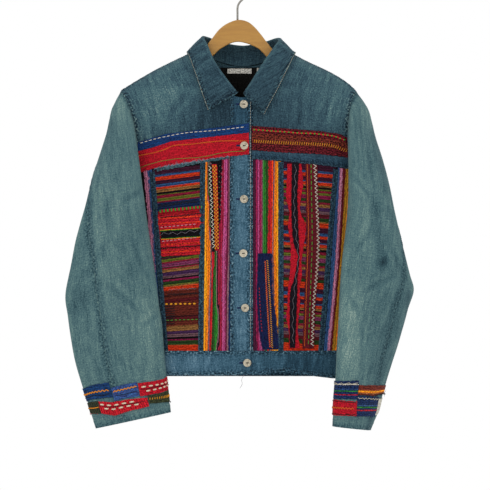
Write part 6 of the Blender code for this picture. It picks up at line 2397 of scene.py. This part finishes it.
def turned_button(name, place, way):
    """A button turned from its profile, at its place, without its holes."""
    mesh = bmesh.new()
    line = [mesh.verts.new((radius * MM, 0, height * MM)) for radius, height in BUTTON_PROFILE]
    edges = [mesh.edges.new(pair) for pair in zip(line, line[1:])]
    bmesh.ops.spin(mesh, geom=line + edges, cent=(0, 0, 0), axis=(0, 0, 1), angle=math.tau, steps=48,
                   use_merge=True)
    bmesh.ops.remove_doubles(mesh, verts=mesh.verts[:], dist=1e-6)
    bmesh.ops.recalc_face_normals(mesh, faces=mesh.faces[:])
    bmesh.ops.rotate(mesh, verts=mesh.verts[:], cent=(0, 0, 0), matrix=way)
    bmesh.ops.translate(mesh, verts=mesh.verts[:], vec=place)
    return linked(name, mesh_data(name, mesh, "pearl"))


def buttons():
    """Six sewn pearl buttons with two holes each, their thread and their buttonholes."""
    way = Vector((0, 0, 1)).rotation_difference(Vector((0, -1, 0))).to_matrix()
    drill = drill_data(way)
    half = HOLE_SPACING / 2
    thread_runs, hole_runs, slit_shade_runs = [], [], []
    for number, (across, level, seat) in enumerate(BUTTONS, start=1):
        x, y, z = place = front_point(across, level, seat + BUTTON_SEAT_GAP)
        button = turned_button(f"button_{number}_pearl", Vector(place) * MM, way)
        cutters = []
        for sign in (-1, 1):
            cutter = linked(f"drill_{number}_{sign}", drill)
            cutter.location = Vector((x + sign * half, y, z)) * MM
            cut = button.modifiers.new("hole", "BOOLEAN")
            cut.object = cutter
            cut.operation = "DIFFERENCE"
            cutters.append(cutter)
        bpy.context.view_layer.update()
        view = bpy.context.evaluated_depsgraph_get()
        drilled = bpy.data.meshes.new_from_object(button.evaluated_get(view))
        button.modifiers.clear()
        button.data = drilled
        round_off(drilled, 50)
        for cutter in cutters:
            bpy.data.objects.remove(cutter)
        hand_over(button, "pearl", f"button_{number}")
        for offset in (-0.45, 0.0, 0.45):
            sewn = ((-half, 0.4), (-half, -2.2), (0, -2.75), (half, -2.2), (half, 0.4))
            thread_runs.append([(x + right, y + back, z + offset) for right, back in sewn])
        reach = np.linspace(*BUTTONHOLE, 24)
        top = seat + 0.15
        # A black thread along each buttonhole's slit is the slit's painted shade
        slit_shade_runs.append(front_point(across + reach, level + 0 * reach, top))
        for sign in (-1, 1):
            ends = np.array([0.3, 1.5]) * sign
            for step in reach:
                hole_runs.append(front_point(across + step + 0 * ends, level + ends, top))
    on = "placket_right_denim"
    sewing("button_thread", thread_runs, 0.32, "thread black", "braid_black", on)
    sewing("buttonhole_edges", hole_runs, 0.28, "thread navy", "denim_dark", on, sides=0)
    # The slits' painted shade, in black thread
    sewing("buttonhole_slit_shade", slit_shade_runs, 0.4, "thread black", "braid_black", on)


def hem_thread():
    """One loose thread that hangs from the waistband."""
    across, level = through(((2, -739), (-2.5, -749), (-1.5, -757), (-6, -765)), 24).T
    points = joined(across + CENTRE_X, -39.5 + 2 * np.sin(np.linspace(0, 4, 24)), level)
    sewing("thread_at_hem", [points], 0.3, "thread grey", "denim", "waistband_right_denim", tips=0.5)


def topstitching():
    """The topstitching of the denim, and the pale rows along the front edge and the collar."""
    sewing("topstitching", STITCHED, 0.33, "thread denim", "denim", "back_denim", sides=0, tips=0.7)
    sewing("edge_stitching", PALE_STITCHED, 0.32, "thread ecru", "label", "placket_right_denim", sides=0,
           tips=0.7)


def hanger():
    """The varnished board and the wire hook that carry the jacket."""
    outline = np.concatenate([through(HANGER_TOP, 150), through(HANGER_UNDER, 90)])
    mesh = bmesh.new()
    front = (HANGER_Y - HANGER_THICK / 2) * MM
    face = mesh.faces.new([mesh.verts.new((x * MM, front, z * MM)) for x, z in outline])
    grown = bmesh.ops.extrude_face_region(mesh, geom=[face])["geom"]
    moved = [part for part in grown if isinstance(part, bmesh.types.BMVert)]
    bmesh.ops.translate(mesh, verts=moved, vec=(0, HANGER_THICK * MM, 0))
    bmesh.ops.recalc_face_normals(mesh, faces=mesh.faces[:])
    data = mesh_data("hanger_board", mesh, "beech")
    board = linked("hanger_board", data)
    rounding = board.modifiers.new("rounded edges", "BEVEL")
    rounding.width = HANGER_ROUNDING * MM
    rounding.segments = 4
    rounding.limit_method = "ANGLE"
    rounding.angle_limit = math.radians(60)
    round_off(data, 40)
    hand_over(board, "wood", "hanger_body")

    angles = np.radians(np.linspace(HOOK_FIRST, HOOK_LAST, 60))
    centre = HOOK_WIRE - HOOK_RADIUS
    bow = joined(HOOK_RADIUS * np.cos(angles), centre + HOOK_RADIUS * np.sin(angles))
    across, level = np.concatenate([through(HOOK_STEM, 24)[:-1], bow]).T
    points = joined(across, HANGER_Y, level)
    sewing("hanger_wire", [points], HOOK_WIRE, "wire", "steel", "hanger_board", sides=5, node="hanger_hook")


def declare_sheets():
    """Go through each wider piece of cloth and gather the sewing and the narrow pieces that it carries."""
    narrow = [name for name, piece in PIECES.items() if min(piece["flat"]) < NARROW]
    for name, piece in PIECES.items():
        if name in narrow:
            continue
        carried = list(ON_PIECES.get(name, []))
        carried += [other for other in narrow if PIECES[other]["held"]["rests_on"] == name]
        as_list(carried[:MOST_CARRIED])


def stage():
    """A plain pale floor below, soft light all round and from the front, and the camera."""
    scene = bpy.context.scene
    settings = scene.jacket_stage
    mesh = bmesh.new()
    bmesh.ops.create_circle(mesh, cap_ends=True, segments=96, radius=settings.floor_radius)
    bmesh.ops.translate(mesh, verts=mesh.verts[:], vec=(0, 0, settings.floor_level))
    data = mesh_data("studio_floor", mesh)
    paint = Look("floor paint")
    paint.shade({"Base Color": linear("#E9E9E7"), "Roughness": 0.8})
    data.materials.append(paint.material)
    linked("studio_floor", data)

    world = bpy.data.worlds.new("studio")
    world.use_nodes = True
    world.node_tree.nodes["Background"].inputs["Color"].default_value = (1, 1, 1, 1)
    world.node_tree.nodes["Background"].inputs["Strength"].default_value = settings.surround
    scene.world = world
    for name, place, aim, size, energy in (
        ("key light", (-1.5, -2.4, 0.9), (0, 0, -0.45), 1.1, settings.key_light),
        ("fill light", (1.8, -2.2, 0.1), (0, 0, -0.5), 1.6, settings.key_light * FILL_SHARE),
    ):
        lamp = bpy.data.lights.new(name, "AREA")
        lamp.energy = energy
        lamp.size = size
        light = linked(name, lamp)
        light.location = place
        light.rotation_euler = (Vector(aim) - Vector(place)).to_track_quat("-Z", "Y").to_euler()

    lens = bpy.data.cameras.new("camera")
    lens.sensor_width = SENSOR
    reach = settings.camera_distance - FRONT_DEPTH
    lens.lens = SENSOR / 2 / (settings.frame_width / 2 / reach)
    camera = linked("camera", lens)
    camera.location = (CAMERA_X, -settings.camera_distance, CAMERA_Z)
    camera.rotation_euler = (math.pi / 2, 0, 0)
    scene.camera = camera
    scene.view_settings.view_transform = "Standard"


# The add-on


class JacketStage(bpy.types.PropertyGroup):
    """Sizes and lights of the studio."""

    floor_radius: bpy.props.FloatProperty(
        name="Floor radius", description="Radius of the round floor", default=1.0, unit="LENGTH")
    floor_level: bpy.props.FloatProperty(
        name="Floor level", description="Height of the floor under the hook", default=-1.26, unit="LENGTH")
    surround: bpy.props.FloatProperty(
        name="Surround", description="Strength of the white light all round", default=1.0)
    key_light: bpy.props.FloatProperty(
        name="Key light", description="Power of the main lamp in watts", default=11.0)
    camera_distance: bpy.props.FloatProperty(
        name="Camera distance", description="From the lens to the hanger", default=12.0, unit="LENGTH")
    frame_width: bpy.props.FloatProperty(
        name="Frame width", description="Width seen at the jacket's front", default=0.9065, unit="LENGTH")


class JACKET_OT_yokes(bpy.types.Operator):
    """The front yokes and the back yoke."""

    bl_idname = "jacket.yokes"
    bl_label = "Yokes"

    def execute(self, context):
        front_yokes()
        back_yoke()
        return {"FINISHED"}


class JACKET_OT_lower_body(bpy.types.Operator):
    """The back and the denim sides of the fronts."""

    bl_idname = "jacket.lower_body"
    bl_label = "Lower body"

    def execute(self, context):
        back_panel()
        side_fronts()
        return {"FINISHED"}


class JACKET_OT_woven_panels(bpy.types.Operator):
    """The striped panels of the fronts and the pieces laid on them."""

    bl_idname = "jacket.woven_panels"
    bl_label = "Woven panels"

    def execute(self, context):
        woven_panels()
        laid_on()
        return {"FINISHED"}


class JACKET_OT_bands(bpy.types.Operator):
    """The straps, chest bands, plackets and waistband."""

    bl_idname = "jacket.bands"
    bl_label = "Straps and bands"

    def execute(self, context):
        straps()
        plackets()
        chest_bands()
        waistband()
        return {"FINISHED"}


class JACKET_OT_neck(bpy.types.Operator):
    """The collar, the neck facing and its bare labels."""

    bl_idname = "jacket.neck"
    bl_label = "Collar and neck"

    def execute(self, context):
        collar()
        neck_inside()
        return {"FINISHED"}


class JACKET_OT_sleeves(bpy.types.Operator):
    """The sleeves and the patches round their ends."""

    bl_idname = "jacket.sleeves"
    bl_label = "Sleeves"

    def execute(self, context):
        sleeves()
        cuff_patches()
        return {"FINISHED"}


class JACKET_OT_sewing(bpy.types.Operator):
    """The topstitching, hand stitching, braids and loose threads."""

    bl_idname = "jacket.sewing"
    bl_label = "Sewing"

    def execute(self, context):
        topstitching()
        band_embroidery()
        strip_embroidery()
        panel_embroidery()
        cuff_embroidery()
        frays()
        hem_thread()
        return {"FINISHED"}


class JACKET_OT_buttons(bpy.types.Operator):
    """The six buttons with their thread and buttonholes."""

    bl_idname = "jacket.buttons"
    bl_label = "Buttons"

    def execute(self, context):
        buttons()
        return {"FINISHED"}


class JACKET_OT_hanger(bpy.types.Operator):
    """The wooden hanger and its hook."""

    bl_idname = "jacket.hanger"
    bl_label = "Hanger"

    def execute(self, context):
        hanger()
        return {"FINISHED"}


class JACKET_OT_stage(bpy.types.Operator):
    """The floor, the light and the camera."""

    bl_idname = "jacket.stage"
    bl_label = "Stage"

    def execute(self, context):
        stage()
        return {"FINISHED"}


OPERATORS = (
    JACKET_OT_hanger,
    JACKET_OT_yokes,
    JACKET_OT_lower_body,
    JACKET_OT_woven_panels,
    JACKET_OT_bands,
    JACKET_OT_neck,
    JACKET_OT_sleeves,
    JACKET_OT_sewing,
    JACKET_OT_buttons,
    JACKET_OT_stage,
)


class JACKET_PT_panel(bpy.types.Panel):
    """Lists the pieces of the jacket in the sidebar."""

    bl_idname = "JACKET_PT_panel"
    bl_label = "Patchwork denim jacket"
    bl_space_type = "VIEW_3D"
    bl_region_type = "UI"
    bl_category = "Jacket"

    def draw(self, context):
        for operator in OPERATORS:
            self.layout.operator(operator.bl_idname)
        for name in JacketStage.__annotations__:
            self.layout.prop(context.scene.jacket_stage, name)


CLASSES = (JacketStage, *OPERATORS, JACKET_PT_panel)


def register():
    """Register the classes and the settings."""
    for item in CLASSES:
        bpy.utils.register_class(item)
    bpy.types.Scene.jacket_stage = bpy.props.PointerProperty(type=JacketStage)


def unregister():
    """Take the classes and the settings away again."""
    del bpy.types.Scene.jacket_stage
    for item in reversed(CLASSES):
        bpy.utils.unregister_class(item)


def main():
    register()
    for operator in OPERATORS:
        group, name = operator.bl_idname.split(".")
        getattr(getattr(bpy.ops, group), name)()
    declare_sheets()


if __name__ == "__main__":
    main()
